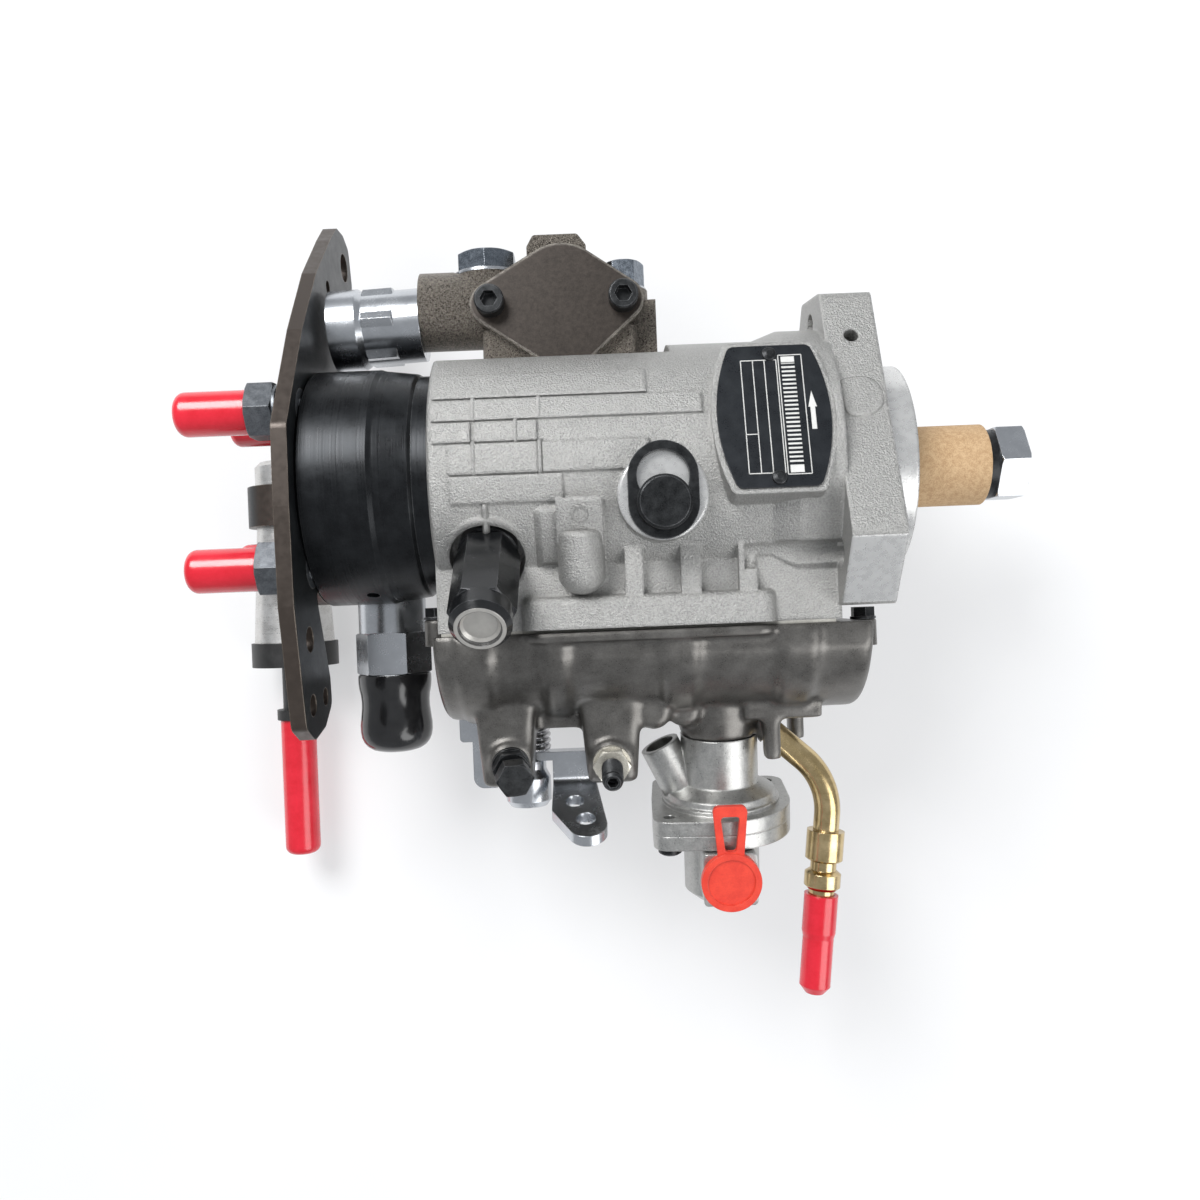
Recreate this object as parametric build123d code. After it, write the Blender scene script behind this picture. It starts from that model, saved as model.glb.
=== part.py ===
from build123d import *
import math
import os

os.makedirs("parts", exist_ok=True)

# Diesel injection pump of the rotary distributor kind, in millimetres.
# +X runs along the drive shaft towards the drive end, the governor cover is on the -Y side,
# and +Z is the side that carries the data plate. The origin is on the drive shaft's axis
# at the flange's mounting face. Places across the shaft are written as (Y, Z).

# Named fits
RUNNING = 0.03
SLIDING = 0.05
CLEAR = 0.3

# Flange and spigot
FLANGE_THICK = 17.0
FLANGE_PCD = 98.0
FLANGE_HOLE_R = 4.5
FLANGE_HOLE_ANGLE = 8.0
FLANGE_REACH = 58.5
FLANGE_FACET = 28.0
FLANGE_CORNER_R = 3.0
RIM_HOLE_R = 2.4
RIM_HOLE_ANGLE = 68.0
RIM_HOLE_SHIFT = 26.6
SPIGOT_R = 35.0
SPIGOT_LONG = 10.0

# Pump body casting
BODY_LONG = 145.0
BODY_R = 45.0
BODY_BORE_R = BODY_R - 11.0
CHAMBER_END = 52.0
COLLAR_RISE = 3.0
COLLAR_X0 = -38.0
COLLAR_X1 = -30.0
COVER_JOINT_Y = -(BODY_R + 6.0)
BODY_HALF_WIDE = 33.0
RAIL_HALF_WIDE = BODY_HALF_WIDE + 5.0
RAIL_HIGH = 10.5
RAIL_X0 = -BODY_LONG + 27.0
RAIL_X1 = -37.0
RAIL_CORNER_R = 5.0
RAIL_EDGE_R = 2.5
RIBS = ((-84.7, -79.0, -20.5), (-67.1, -60.8, -20.5), (-48.8, -43.1, -12.0))
WINDOW_HALF_WIDE = 20.0
WINDOW_X0 = -BODY_LONG + 9.0
WINDOW_X1 = -62.0
MILLED_Y = BODY_R - 6.5
MILLED_X1 = -BODY_LONG + 78.0
PANEL_RISE = 0.9
PLUG_BOSS_X = -BODY_LONG + 46.7
PAD_X = -37.5
PAD_WIDE = 25.0
PAD_LONG = 47.0
PAD_BULGE = 5.0
PAD_MARGIN = 1.5
PAD_TILT = 15.0
PAD_DIST = BODY_R + 2.0
DATA_PLATE_THICK = 0.8
RIVET_R = 1.4
RIVET_LONG = 4.0
RIVET_INSET = 3.0

# Drive line
SHAFT_R = 12.0
TAPER_SMALL_R = 9.0
TAPER_X0 = 12.0
TAPER_X1 = 38.0
THREAD_R = 7.0
SHAFT_END = 54.5
BUSH_R = 16.0
BUSH_LONG = 34.0
SEAL_R = 20.0
SEAL_LONG = 8.0
SLEEVE_R = 14.0
SLEEVE_WALL = 1.5
SLEEVE_LONG = 31.0
NUT_AF = 24.0
NUT_THICK = 10.0
WASHER_R = 12.0
WASHER_THICK = 3.6
KEY_WIDE = 4.0
KEY_LONG = 11.0
KEY_RISE = 1.5
DRIVE_DISC_R = 26.0
DRIVE_DISC_X = -BODY_LONG + 55.0
DRIVE_DISC_THICK = 4.0
TANG_HALF = 5.0

# Flyweight governor
CARRIER_R = 28.0
CARRIER_THICK = 3.0
WEIGHT_LONG = 9.0
WEIGHT_COUNT = 4
WEIGHT_INNER_R = 16.5
THRUST_R = 15.0
THRUST_LONG = 5.0

# Shaft lock screw and its slotted spacer
LOCK_X = -72.5
LOCK_Y = -13.6
LOCK_BOSS_R = 14.0
LOCK_BOSS_SHIFT = 2.9
LOCK_BOSS_Z = BODY_R + 3.5
LOCK_SCREW_R = 4.0
LOCK_TIP_GAP = 4.5
LOCK_HEAD_R = 8.3
LOCK_HEAD_THICK = 5.2
SPACER_THICK = 2.5
SPACER_R = 10.8
SPACER_STEP = 8.2
SPACER_EYE_R = 8.0
SPACER_SLOT_GAP = 1.0

# Leak-off adaptor
ADAPTOR_X = -BODY_LONG + 17.0
ADAPTOR_Y = -27.0
ADAPTOR_Z = 35.0
ADAPTOR_LEAN = 38.0
ADAPTOR_AF = 18.2
ADAPTOR_SEAT_R = 12.0
ADAPTOR_SEAT_DEEP = 5.5
ADAPTOR_THREAD_R = 6.0
ADAPTOR_THREAD_LONG = 4.0
ADAPTOR_LONG = 36.0

# Hydraulic head
HEAD_R = BODY_R - 4.5
HEAD_X0 = -BODY_LONG - 42.0
HEAD_DRUM_LONG = 24.0
HEAD_STEP_R = HEAD_R - 0.5
HEAD_STEP_LONG = 11.0
HEAD_NECK_R = HEAD_R - 2.7
HEAD_STEP_END_R = HEAD_R - 1.9
HEAD_SPIGOT_END = -BODY_LONG + 25.0
HEAD_SLEEVE_R = 13.0
HEAD_PLUG_R = 2.2
HEAD_PLUGS = ((HEAD_X0 + 13.0, 17.0), (HEAD_X0 + 18.0, 158.0))
ROTOR_R = 9.5
PUMP_CAVITY_R = 18.0
PUMP_CAVITY_LONG = 9.0
LINER_OFFSET = 1.5
PLUNGER_R = 3.5
PLUNGER_LONG = 11.0

# Cam ring and advance unit
CAM_X = -BODY_LONG + 43.0
CAM_LONG = 20.0
CAM_BORE_R = 28.2
CAM_LOBE = 1.2
CAM_LOBES = 4
ROLLER_R = 4.0
ROLLER_LONG = 13.0
ROTOR_HEAD_R = 17.0
PISTON_R = 11.0
PISTON_Y = BODY_R + 15.0
PISTON_LONG = 26.5
PISTON_Z0 = -24.5
STUD_R = 4.5
STUD_BALL_R = 6.0
STUD_FOOT = 1.0
STUD_REST_ANGLE = -6.0
STUD_SLOT_R = STUD_R + 2.0
STUD_SLOT_HALF = 7.5
ADVANCE_TOP_R = 16.5
ADVANCE_FACE_Z = 9.0
ADVANCE_FACE_THICK = 4.0
ADVANCE_BACK_Z = -30.0
ADVANCE_WALL = 5.5
ADVANCE_SCREW_R = 3.0
COVER_PLATE_THICK = 3.0
EAR_R = 7.0
EAR_X0 = CAM_X - 24.2
EAR_X1 = CAM_X + 20.9
EAR_Y = PISTON_Y
BARREL_R = 13.6
BARREL_X = CAM_X - 50.0
BARREL_Y = PISTON_Y + 3.1
BARREL_Z = -8.0
BARREL_HOLE_R = 8.0
FITTING_DROP = 4.2
FITTING_LEAN = 2.4
FITTING_R = 12.8
FITTING_END_R = 14.1
FITTING_HEX_AF = 24.4
FITTING_LONG = 32.0
TOP_PLUG_X = CAM_X - 26.5
TOP_PLUG_Y = PISTON_Y + 14.6
TOP_PLUG_R = 7.0
SIDE_BOLT_X = CAM_X + 21.7
SIDE_BOLT_Y = PISTON_Y + 7.0
SIDE_BOLT_Z = -6.0
SIDE_BOLT_R = 4.0

# Outlets and bracket plate
OUTLET_PCR = HEAD_R - 4.5
OUTLET_ANGLE = 50.0
OUTLET_HEX_AF = 17.0
OUTLET_HEX_LONG = 8.8
OUTLET_STUB_R = 5.6
OUTLET_STUB_LONG = 20.0
OUTLET_NECK_R = 7.0
OUTLET_TAIL_R = 3.9
OUTLET_NECK_LONG = 2.5
OUTLET_BURY = 6.0
OUTLET_BORE_R = 1.5
CAP_WALL = 1.6
CAP_LONG = 24.0
PLATE_THICK = 5.0
PLATE_DISC_R = HEAD_R - 0.5
PLATE_SCREW_R = 4.0
PLATE_SCREWS = ((16.9, 5.0), (-16.9, -5.0), (-4.0, 17.5))
PLATE_HOLES = (
    (90.4, -37.7, 5.3),
    (74.9, -11.9, 2.6),
    (-51.1, 29.0, 4.2),
    (-72.5, 28.0, 3.6),
    (-71.0, 13.0, 3.0),
)

# Governor cover and its posts
COVER_X0 = -BODY_LONG - 2.0
COVER_X1 = -6.0
COVER_BOTTOM_Y = COVER_JOINT_Y - 31.0
COVER_FLANGE_HIGH = 3.0
COVER_HALF_WIDE = 34.0
COVER_LOBES = ((-140.0, -128.0), (-112.0, -104.0), (-74.0, -62.0), (-36.0, -24.0))
COVER_LOBE_RISE = 1.6
COVER_WALL = 4.0
GASKET_THICK = 1.0
POST_BOTTOM_Y = COVER_BOTTOM_Y - 21.0
POST_FRONT_Z = 20.0
POST_DEEP = 15.0

# Stop screws on the posts
STOP_SCREW_R = 3.0
STOP_SCREW_LONG = 24.0
SPEED_SCREW_R = 3.2
SPEED_SCREW_LONG = 40.0
SCREW_SEAT = 1.5
SCREW_SEAT_R = 7.2
LOCKNUT_AF = 11.0
LOCKNUT_THICK = 4.0

# Throttle lever set
THROTTLE_X = -121.0
THROTTLE_Z = -6.0
THROTTLE_R = 5.0
THROTTLE_TOP_Y = -62.0
THROTTLE_END_Y = -112.0
LEVER_THICK = 3.0
LEVER_TOP_Y = -95.0
LEVER_BACK_Z = -5.0
LEVER_BEND_R = 5.0
LEVER_DROOP = 22.0
LEVER_TONGUE = 36.0
LEVER_TIP = (-100.0, 23.0)
LEVER_TIP_R = 6.5
LEVER_HOLES = ((-104.4, 10.0), (-100.6, 20.0))
LEVER_HOLE_R = 3.2
NUT_NECK_R = 6.5
NUT_CUP_R = 8.0
SPRING_R = 7.6
SPRING_WIRE_R = 0.9
SPRING_PITCH = 2.2
SPRING_HIGH = 7.0

# Boost control unit, heights measured along its own axis
BOOST_X = -53.3
BOOST_LEAN = 8.0
BOOST_FLANGE_R = 24.3
BOOST_SEAT_Y = COVER_BOTTOM_Y - 8
BOOST_NECK_R = 13.7
BOOST_NECK_LONG = 17.0
BOOST_RIM_R = 20.5
BOOST_RIM_S = 22.5
BOOST_SPLIT_S = 29.0
BOOST_BASE_S = 34.0
BOOST_END_S = 59.0
BOOST_CUP_R = 13.3
BOOST_CUP_BORE_R = 10.5
BOOST_CAVITY_R = 18.0
BOOST_EAR_R = 5.5
BOOST_EAR_PCR = 26.0
BOOST_EARS = (138, 228, 318)
BOOST_SCREW_R = 2.0
BOOST_ROD_R = 3.0
BOOST_PLATE_R = 10.0
DIAPHRAGM_THICK = 0.5
PORT_S = 43.5
PORT_Z = 26.0
PORT_R = 6.0
PORT_WIDE = 18.0

# Fuel inlet fitting
INLET_X = HEAD_X0 + 17.0
INLET_Z = -20.0
INLET_R = 12.3
INLET_NECK_R = 8.6
INLET_HEX_AF = 24.0
INLET_HEX_Y = -51.0
INLET_HEX_LONG = 15.0
INLET_END_R = 10.6
INLET_END_LONG = 20.0

# Stop solenoid and its clamp
SOLENOID_X = HEAD_X0 - 29.5
SOLENOID_Z = -54.0
SOLENOID_TOP_Y = 18.0
SOLENOID_END_Y = -54.0
SOLENOID_TOP_R = 13.0
SOLENOID_R = 15.5
CLAMP_HIGH = 16.0
CLAMP_Y = 8.0
CLAMP_WALL = 3.0
COLLAR_R = 16.8
COLLAR_LONG = 9.5
STEM_R = 5.6
STEM_STUB_R = 4.6
STEM_FLANGE_R = 8.0
STEM_LONG = 27.0

# Return pipe
PIPE_R = 4.5
PIPE_WALL = 1.0
PIPE_START = (-36.8, -88.7)
PIPE_SOCKET_R = PIPE_R + 2.0
PIPE_SOCKET_LONG = 2.0
PIPE_BEND = (-15.1, -108.4)
PIPE_BEND_R = 23.5
PIPE_DROP = 44.0
PIPE_LEAN = 6.4


def along_x(sketch, x0, x1):
    """A sketch whose axes are Y and Z, carried from x0 to x1."""
    return extrude(Plane.YZ.offset(x0) * sketch, x1 - x0)


def along_y(sketch, y0, y1):
    """A sketch whose axes are X and Z, carried down from y0 to y1."""
    return extrude(Plane.XZ.offset(-y0) * sketch, y0 - y1)


def along_z(sketch, z0, z1):
    """A sketch whose axes are X and Y, carried up from z0 to z1."""
    return extrude(Plane.XY.offset(z0) * sketch, z1 - z0)


def disc(r, a=0.0, b=0.0):
    return Pos(a, b) * Circle(r)


def ring(r_out, r_in, a=0.0, b=0.0):
    return disc(r_out, a, b) - disc(r_in, a, b)


def block(a0, a1, b0, b1):
    return Pos((a0 + a1) / 2, (b0 + b1) / 2) * Rectangle(a1 - a0, b1 - b0)


def hexagon(across_flats, a=0.0, b=0.0, turn=0.0):
    corner_r = across_flats / math.sqrt(3)
    return Pos(a, b) * Rot(0, 0, turn) * RegularPolygon(corner_r, 6)


def turned(*steps):
    """A solid of revolution about Z through (height, radius) steps."""
    points = [(0, steps[0][0])]
    points += [(r, z) for z, r in steps]
    points += [(0, steps[-1][0])]
    return revolve(Plane.XZ * make_face(Polyline(*points, close=True)), Axis.Z)


def hex_head(across_flats, high, chamfer=0.9):
    """A hexagon standing on Z = 0 with both ends chamfered."""
    corner_r = across_flats / math.sqrt(3)
    envelope = turned(
        (0, corner_r - chamfer),
        (chamfer * 0.5, corner_r),
        (high - chamfer * 0.5, corner_r),
        (high, corner_r - chamfer),
    )
    return extrude(hexagon(across_flats), high) & envelope


def socket_screw(thread_r, head_r, head_high, shank_long):
    """A socket cap screw, its head standing on Z = 0 and its shank below."""
    screw = turned(
        (-shank_long, thread_r),
        (0, thread_r),
        (0, head_r),
        (head_high - 0.5, head_r),
        (head_high, head_r - 0.5),
    )
    return screw - extrude(Plane.XY.offset(head_high * 0.4) * hexagon(thread_r * 1.7), head_high)


def rod(r, z0, z1, a=0.0, b=0.0):
    """A cylinder along Z between two heights."""
    return along_z(disc(r, a, b), z0, z1)


def round_cap(r_in, wall, long):
    """A pull-off cap, open at Z = 0, with a rounded closed end."""
    r_out = r_in + wall
    cap = rod(r_out, 0, long)
    cap = fillet(cap.edges().sort_by(Axis.Z)[-1], r_out * 0.45)
    return cap - rod(r_in, -1, long - wall)


def polar(r, angle):
    """Y and Z of a point at an angle measured from +Y towards +Z."""
    return r * math.cos(math.radians(angle)), r * math.sin(math.radians(angle))


TO_X = Plane.YZ
TO_MINUS_X = Plane(origin=(0, 0, 0), x_dir=(0, 0, 1), z_dir=(-1, 0, 0))
TO_MINUS_Y = Plane.XZ
TO_PLUS_Y = Plane(origin=(0, 0, 0), x_dir=(1, 0, 0), z_dir=(0, 1, 0))

nodes = {}


# Flange outline, a triangle with its corners cut to facets
def flange_outline():
    corners = []
    for k in range(3):
        angle = FLANGE_HOLE_ANGLE + 120 * k
        y, z = polar(FLANGE_REACH, angle)
        dy, dz = polar(FLANGE_FACET / 2, angle + 90)
        corners += [(y - dy, z - dz), (y + dy, z + dz)]
    outline = make_face(Polyline(*corners, close=True))
    return fillet(outline.vertices(), FLANGE_CORNER_R)


def flange_holes(x0, x1):
    holes = Sketch()
    for k in range(3):
        y, z = polar(FLANGE_PCD / 2, FLANGE_HOLE_ANGLE + 120 * k)
        holes += disc(FLANGE_HOLE_R, y, z)
    return along_x(holes, x0, x1)


def raised_panel(x0, x1, y0, y1):
    """A shallow pad that follows the barrel on the data plate side."""
    shell = along_x(ring(BODY_R + PANEL_RISE, BODY_R - 1.0), x0, x1)
    return shell & along_z(block(x0, x1, y0, y1), 0, BODY_R + PANEL_RISE + 1)


def data_plate_outline(grow=0.0):
    """The data plate, straight at two ends and bulged along the other two."""
    w = PAD_WIDE / 2 + grow
    h = PAD_LONG / 2 + grow
    top = Line((-w, h), (w, h))
    right = ThreePointArc((w, h), (w + PAD_BULGE, 0), (w, -h))
    low = Line((w, -h), (-w, -h))
    left = ThreePointArc((-w, -h), (-w - PAD_BULGE, 0), (-w, h))
    return fillet(make_face(top + right + low + left).vertices(), 2.5)


pad_tilt = math.radians(PAD_TILT)
pad_normal = (0, math.sin(pad_tilt), math.cos(pad_tilt))
PAD_SEAT = Plane(
    origin=(PAD_X, pad_normal[1] * PAD_DIST, pad_normal[2] * PAD_DIST),
    x_dir=(1, 0, 0),
    z_dir=pad_normal,
)

adaptor_lean = math.radians(ADAPTOR_LEAN)
ADAPTOR_SEAT = Plane(
    origin=(ADAPTOR_X, ADAPTOR_Y, ADAPTOR_Z),
    x_dir=(1, 0, 0),
    z_dir=(0, -math.sin(adaptor_lean), math.cos(adaptor_lean)),
)


def stud_slot():
    """The slot in which the cam stud swings, its axes X and Z."""
    slot = Rot(0, 0, 90) * SlotCenterToCenter(2 * STUD_SLOT_HALF, 2 * STUD_SLOT_R)
    return Pos(CAM_X, 0) * slot


# Pump body
def make_body():
    flange_back = -FLANGE_THICK
    barrel = along_x(disc(BODY_R), -BODY_LONG, flange_back + 1)
    body = fillet(barrel.edges().sort_by(Axis.X)[0], 2.0)
    body += along_x(block(COVER_JOINT_Y, 0, -BODY_HALF_WIDE, BODY_HALF_WIDE), -BODY_LONG, flange_back + 1)
    body += along_x(flange_outline(), flange_back, 0)
    body += along_x(disc(SPIGOT_R), -1, SPIGOT_LONG)

    # Rails that carry the governor cover's joint, with rounded ends
    rail_mid = (RAIL_X0 + RAIL_X1) / 2
    rail = Pos(rail_mid, 0) * Rectangle(RAIL_X1 - RAIL_X0, 2 * RAIL_HALF_WIDE)
    rail = fillet(rail.vertices(), RAIL_CORNER_R)
    rail = along_y(rail, COVER_JOINT_Y + RAIL_HIGH, COVER_JOINT_Y)
    body += fillet(rail.edges().group_by(Axis.Y)[-1], RAIL_EDGE_R)

    # Upright ribs on both flanks, standing on the rail
    rib_half = RAIL_HALF_WIDE - 1.0
    for x0, x1, y_top in RIBS:
        body += along_x(block(COVER_JOINT_Y + 1, y_top, -rib_half, rib_half), x0, x1)

    # Thickened drive end behind the flange
    body += TO_X * turned(
        (COLLAR_X0, BODY_R),
        (COLLAR_X1, BODY_R + COLLAR_RISE),
        (flange_back + 1, BODY_R + COLLAR_RISE),
    )

    # Data plate seat
    seat = PAD_SEAT * data_plate_outline(PAD_MARGIN)
    body += extrude(seat, -14)
    body -= extrude(seat, 6)

    # Lock screw boss, plug boss and adaptor boss
    body += along_z(disc(LOCK_BOSS_R, LOCK_X, LOCK_Y + LOCK_BOSS_SHIFT), 20, LOCK_BOSS_Z)
    plug_boss = block(PLUG_BOSS_X - 7.2, PLUG_BOSS_X + 7.2, -40.0, -10.5)
    plug_boss = fillet(plug_boss.vertices().sort_by(Axis.Y)[:2], 5.0)
    plug_boss = along_z(plug_boss, 0, BODY_R + 3.0) & along_x(disc(BODY_R + 3.5), -BODY_LONG, 0)
    plug_boss -= Plane.XY.offset(BODY_R - 2.0) * Pos(PLUG_BOSS_X, -16.5) * Cylinder(2.6, 1.2)
    body += plug_boss
    body += ADAPTOR_SEAT * rod(ADAPTOR_SEAT_R + 2, -20, 0)

    # Shallow raised panels of the casting
    for x0, x1, y0, y1 in (
        (-143, -76, 22.5, 31),
        (-143, -59, 15, 21.8),
        (-143, -131, 8, 14.3),
        (-129.4, -110.4, 8, 14.3),
        (-108.8, -76, -2, 7.3),
        (-138, -110.4, -2, 7.3),
        (-138, -103, -11, -2.7),
    ):
        body += raised_panel(x0, x1, y0, y1)

    # Milled flat under the advance housing
    body -= along_x(block(MILLED_Y, BODY_R + 2, -BODY_R, BODY_R), -BODY_LONG - 1, MILLED_X1)

    # Bores for the head, the cam box, the bush and the seal
    body -= along_x(disc(BODY_BORE_R), -BODY_LONG - 1, -CHAMBER_END)
    body -= along_x(disc(BUSH_R), -CHAMBER_END - 1, SPIGOT_LONG + 1)
    body -= along_x(disc(SEAL_R), -SEAL_LONG, SPIGOT_LONG + 1)
    body -= flange_holes(-FLANGE_THICK - 30, 1)
    body -= rod(LOCK_SCREW_R + SLIDING, 0, LOCK_BOSS_Z + 1, LOCK_X, LOCK_Y)
    body -= ADAPTOR_SEAT * rod(ADAPTOR_SEAT_R, -ADAPTOR_SEAT_DEEP, 12)
    body -= ADAPTOR_SEAT * rod(ADAPTOR_THREAD_R, -20, 0)

    # Governor chamber window and the slot for the cam stud
    window = fillet(block(WINDOW_X0, WINDOW_X1, -WINDOW_HALF_WIDE, WINDOW_HALF_WIDE).vertices(), 6.0)
    body -= along_y(window, -20, COVER_JOINT_Y - 1)
    body -= along_y(stud_slot(), MILLED_Y + 1, 20)

    # Blind tapped hole in the flange's rim
    y, z = polar(30, RIM_HOLE_ANGLE)
    dy, dz = polar(RIM_HOLE_SHIFT, RIM_HOLE_ANGLE - 90)
    rim_hole = Plane(origin=(-FLANGE_THICK / 2, y + dy, z + dz), z_dir=(0, y, z))
    return body - rim_hole * rod(RIM_HOLE_R, 0, 30)


# Hydraulic head, its sleeve and small pieces
def make_head():
    drum_end = HEAD_X0 + HEAD_DRUM_LONG
    step_end = drum_end + HEAD_STEP_LONG
    steps = [
        (HEAD_X0, HEAD_R - 1),
        (HEAD_X0 + 1, HEAD_R),
        (drum_end - 1.5, HEAD_R),
        (drum_end, HEAD_STEP_R),
        (step_end, HEAD_STEP_END_R),
        (step_end + 1.2, HEAD_NECK_R),
        (-BODY_LONG, HEAD_NECK_R),
        (-BODY_LONG, BODY_BORE_R - SLIDING),
        (HEAD_SPIGOT_END, BODY_BORE_R - SLIDING),
    ]
    head = TO_X * turned(*steps)
    head -= along_x(disc(HEAD_SLEEVE_R), HEAD_X0 - 1, HEAD_SPIGOT_END + 1)
    head -= along_x(disc(PUMP_CAVITY_R), HEAD_X0 - 1, HEAD_X0 + PUMP_CAVITY_LONG)
    for y, z in outlet_places():
        head -= along_x(disc(OUTLET_TAIL_R, y, z), HEAD_X0 - 1, HEAD_X0 + OUTLET_BURY)
    for place in head_plug_places():
        head -= place * rod(HEAD_PLUG_R, -7, 1)
    return head - along_y(disc(INLET_NECK_R, INLET_X, INLET_Z), inlet_top_y + 0.5, -HEAD_R - 10)


def outlet_places():
    return [polar(OUTLET_PCR, OUTLET_ANGLE + 90 * k) for k in range(4)]


def head_plug_places():
    places = []
    for x, angle in HEAD_PLUGS:
        y, z = polar(HEAD_R, angle)
        places.append(Plane(origin=(x, y, z), z_dir=(0, y, z)))
    return places


def make_head_plugs():
    plugs = Part()
    for place in head_plug_places():
        plug = rod(HEAD_PLUG_R, -6, -1.5) - extrude(Plane.XY.offset(-3) * hexagon(2.0), 3)
        plugs += place * plug
    return plugs


def make_rotor():
    rotor = along_x(disc(ROTOR_R), HEAD_X0 + 1, HEAD_SPIGOT_END + 2)
    rotor += along_x(disc(ROTOR_HEAD_R), HEAD_SPIGOT_END + 1, CAM_X + CAM_LONG / 2)
    tang = block(-TANG_HALF, TANG_HALF, -ROTOR_HEAD_R, ROTOR_HEAD_R) & disc(ROTOR_HEAD_R)
    rotor += along_x(tang, CAM_X + CAM_LONG / 2, DRIVE_DISC_X)
    bores = Part()
    for angle in (0, 90):
        bores += Rot(angle, 0, 0) * Cylinder(PLUNGER_R, 2 * ROTOR_HEAD_R + 2)
    return rotor - Pos(CAM_X, 0, 0) * bores


def make_plungers():
    plungers = Part()
    for k in range(4):
        plunger = rod(PLUNGER_R - RUNNING / 2, ROTOR_HEAD_R - PLUNGER_LONG, ROTOR_HEAD_R)
        plungers += Pos(CAM_X, 0, 0) * Rot(90 * k, 0, 0) * plunger
    return plungers


def make_rollers():
    """Four rollers, each in its shoe, between the plungers and the cam."""
    seat_r = ROTOR_HEAD_R + 0.2
    centre_r = CAM_BORE_R - CAM_LOBE - ROLLER_R - CLEAR
    rollers = Part()
    for k in range(4):
        shoe = Pos(0, 0, (seat_r + centre_r) / 2) * Box(12, 12, centre_r - seat_r)
        roller = Pos(0, 0, centre_r) * Rot(0, 90, 0) * Cylinder(ROLLER_R, ROLLER_LONG)
        rollers += Pos(CAM_X, 0, 0) * Rot(90 * k, 0, 0) * (shoe + roller)
    return rollers


def make_cam_ring():
    """The cam ring, its bore waved once for each delivery."""
    count = 12 * CAM_LOBES
    points = []
    for k in range(count):
        angle = 360 * k / count
        r = CAM_BORE_R - CAM_LOBE * (1 - math.cos(math.radians(CAM_LOBES * angle))) / 2
        points.append(polar(r, angle))
    bore = make_face(Spline(*points, periodic=True))
    outline = disc(BODY_BORE_R - SLIDING) - bore
    cam = along_x(outline, CAM_X - CAM_LONG / 2, CAM_X + CAM_LONG / 2)
    cam -= along_y(disc(STUD_R, CAM_X, 0), BODY_BORE_R + 1, CAM_BORE_R + STUD_FOOT)
    return Rot(STUD_REST_ANGLE, 0, 0) * cam


def make_cam_stud():
    stud = along_y(disc(STUD_R, CAM_X, 0), PISTON_Y, CAM_BORE_R + STUD_FOOT)
    stud += Pos(CAM_X, PISTON_Y, 0) * Sphere(STUD_BALL_R)
    return Rot(STUD_REST_ANGLE, 0, 0) * stud


inlet_top_y = -math.sqrt(HEAD_R**2 - INLET_Z**2) + 8.5

nodes["pump_body"] = make_body()
nodes["hydraulic_head"] = make_head()
nodes["head_plugs"] = make_head_plugs()
cavity_x1 = HEAD_X0 + PUMP_CAVITY_LONG
liner = disc(PUMP_CAVITY_R) - disc(ROTOR_R + 2 * LINER_OFFSET, LINER_OFFSET, 0)
nodes["head_liners"] = along_x(ring(HEAD_SLEEVE_R, ROTOR_R + RUNNING), cavity_x1, HEAD_SPIGOT_END)
nodes["head_liners"] += along_x(liner, HEAD_X0, cavity_x1)
nodes["rotor"] = make_rotor()
nodes["plungers"] = make_plungers()
nodes["cam_rollers"] = make_rollers()
nodes["cam_ring"] = make_cam_ring()
nodes["cam_stud"] = make_cam_stud()


# Drive shaft with its key, and what it carries
def make_shaft():
    disc_end = DRIVE_DISC_X + DRIVE_DISC_THICK
    shaft = TO_X * turned(
        (DRIVE_DISC_X, DRIVE_DISC_R),
        (disc_end, DRIVE_DISC_R),
        (disc_end, SHAFT_R),
        (TAPER_X0, SHAFT_R),
        (TAPER_X1, TAPER_SMALL_R),
        (TAPER_X1, THREAD_R),
        (SHAFT_END - 1, THREAD_R),
        (SHAFT_END, THREAD_R - 1),
    )
    key_x = (TAPER_X0 + TAPER_X1) / 2
    key_top = (SHAFT_R + TAPER_SMALL_R) / 2 + KEY_RISE
    return shaft + Pos(key_x, key_top - 2, 0) * Box(KEY_LONG, 4, KEY_WIDE)


sleeve_x0 = SPIGOT_LONG + CLEAR
washer_x0 = sleeve_x0 + SLEEVE_LONG
nut_x0 = washer_x0 + WASHER_THICK

nodes["drive_shaft"] = make_shaft()
nodes["shaft_sleeve"] = along_x(ring(SLEEVE_R, SLEEVE_R - SLEEVE_WALL), sleeve_x0, washer_x0)
nodes["spring_washer"] = along_x(ring(WASHER_R, THREAD_R), washer_x0, nut_x0)
nut = Pos(nut_x0, 0, 0) * (TO_X * (Rot(0, 0, 30) * hex_head(NUT_AF, NUT_THICK)))
nodes["shaft_nut"] = nut - along_x(disc(THREAD_R), nut_x0 - 1, nut_x0 + NUT_THICK + 1)

bush_x0 = -CHAMBER_END + 2
nodes["shaft_bush"] = along_x(ring(BUSH_R, SHAFT_R + RUNNING), bush_x0, bush_x0 + BUSH_LONG)
nodes["oil_seal"] = along_x(ring(SEAL_R, SHAFT_R + RUNNING), -SEAL_LONG, 0)

# Flyweight governor: carrier plate, weights and thrust sleeve
carrier_x1 = -CHAMBER_END - 2.0
carrier_x0 = carrier_x1 - CARRIER_THICK
nodes["governor_carrier"] = along_x(ring(CARRIER_R, SHAFT_R), carrier_x0, carrier_x1)


def make_weights():
    weights = Sketch()
    for k in range(WEIGHT_COUNT):
        wedge = Rot(0, 0, 360 * k / WEIGHT_COUNT) * block(WEIGHT_INNER_R, CARRIER_R, -10, 10)
        weights += wedge & disc(CARRIER_R - 1)
    return along_x(weights, carrier_x0 - WEIGHT_LONG, carrier_x0)


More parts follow.
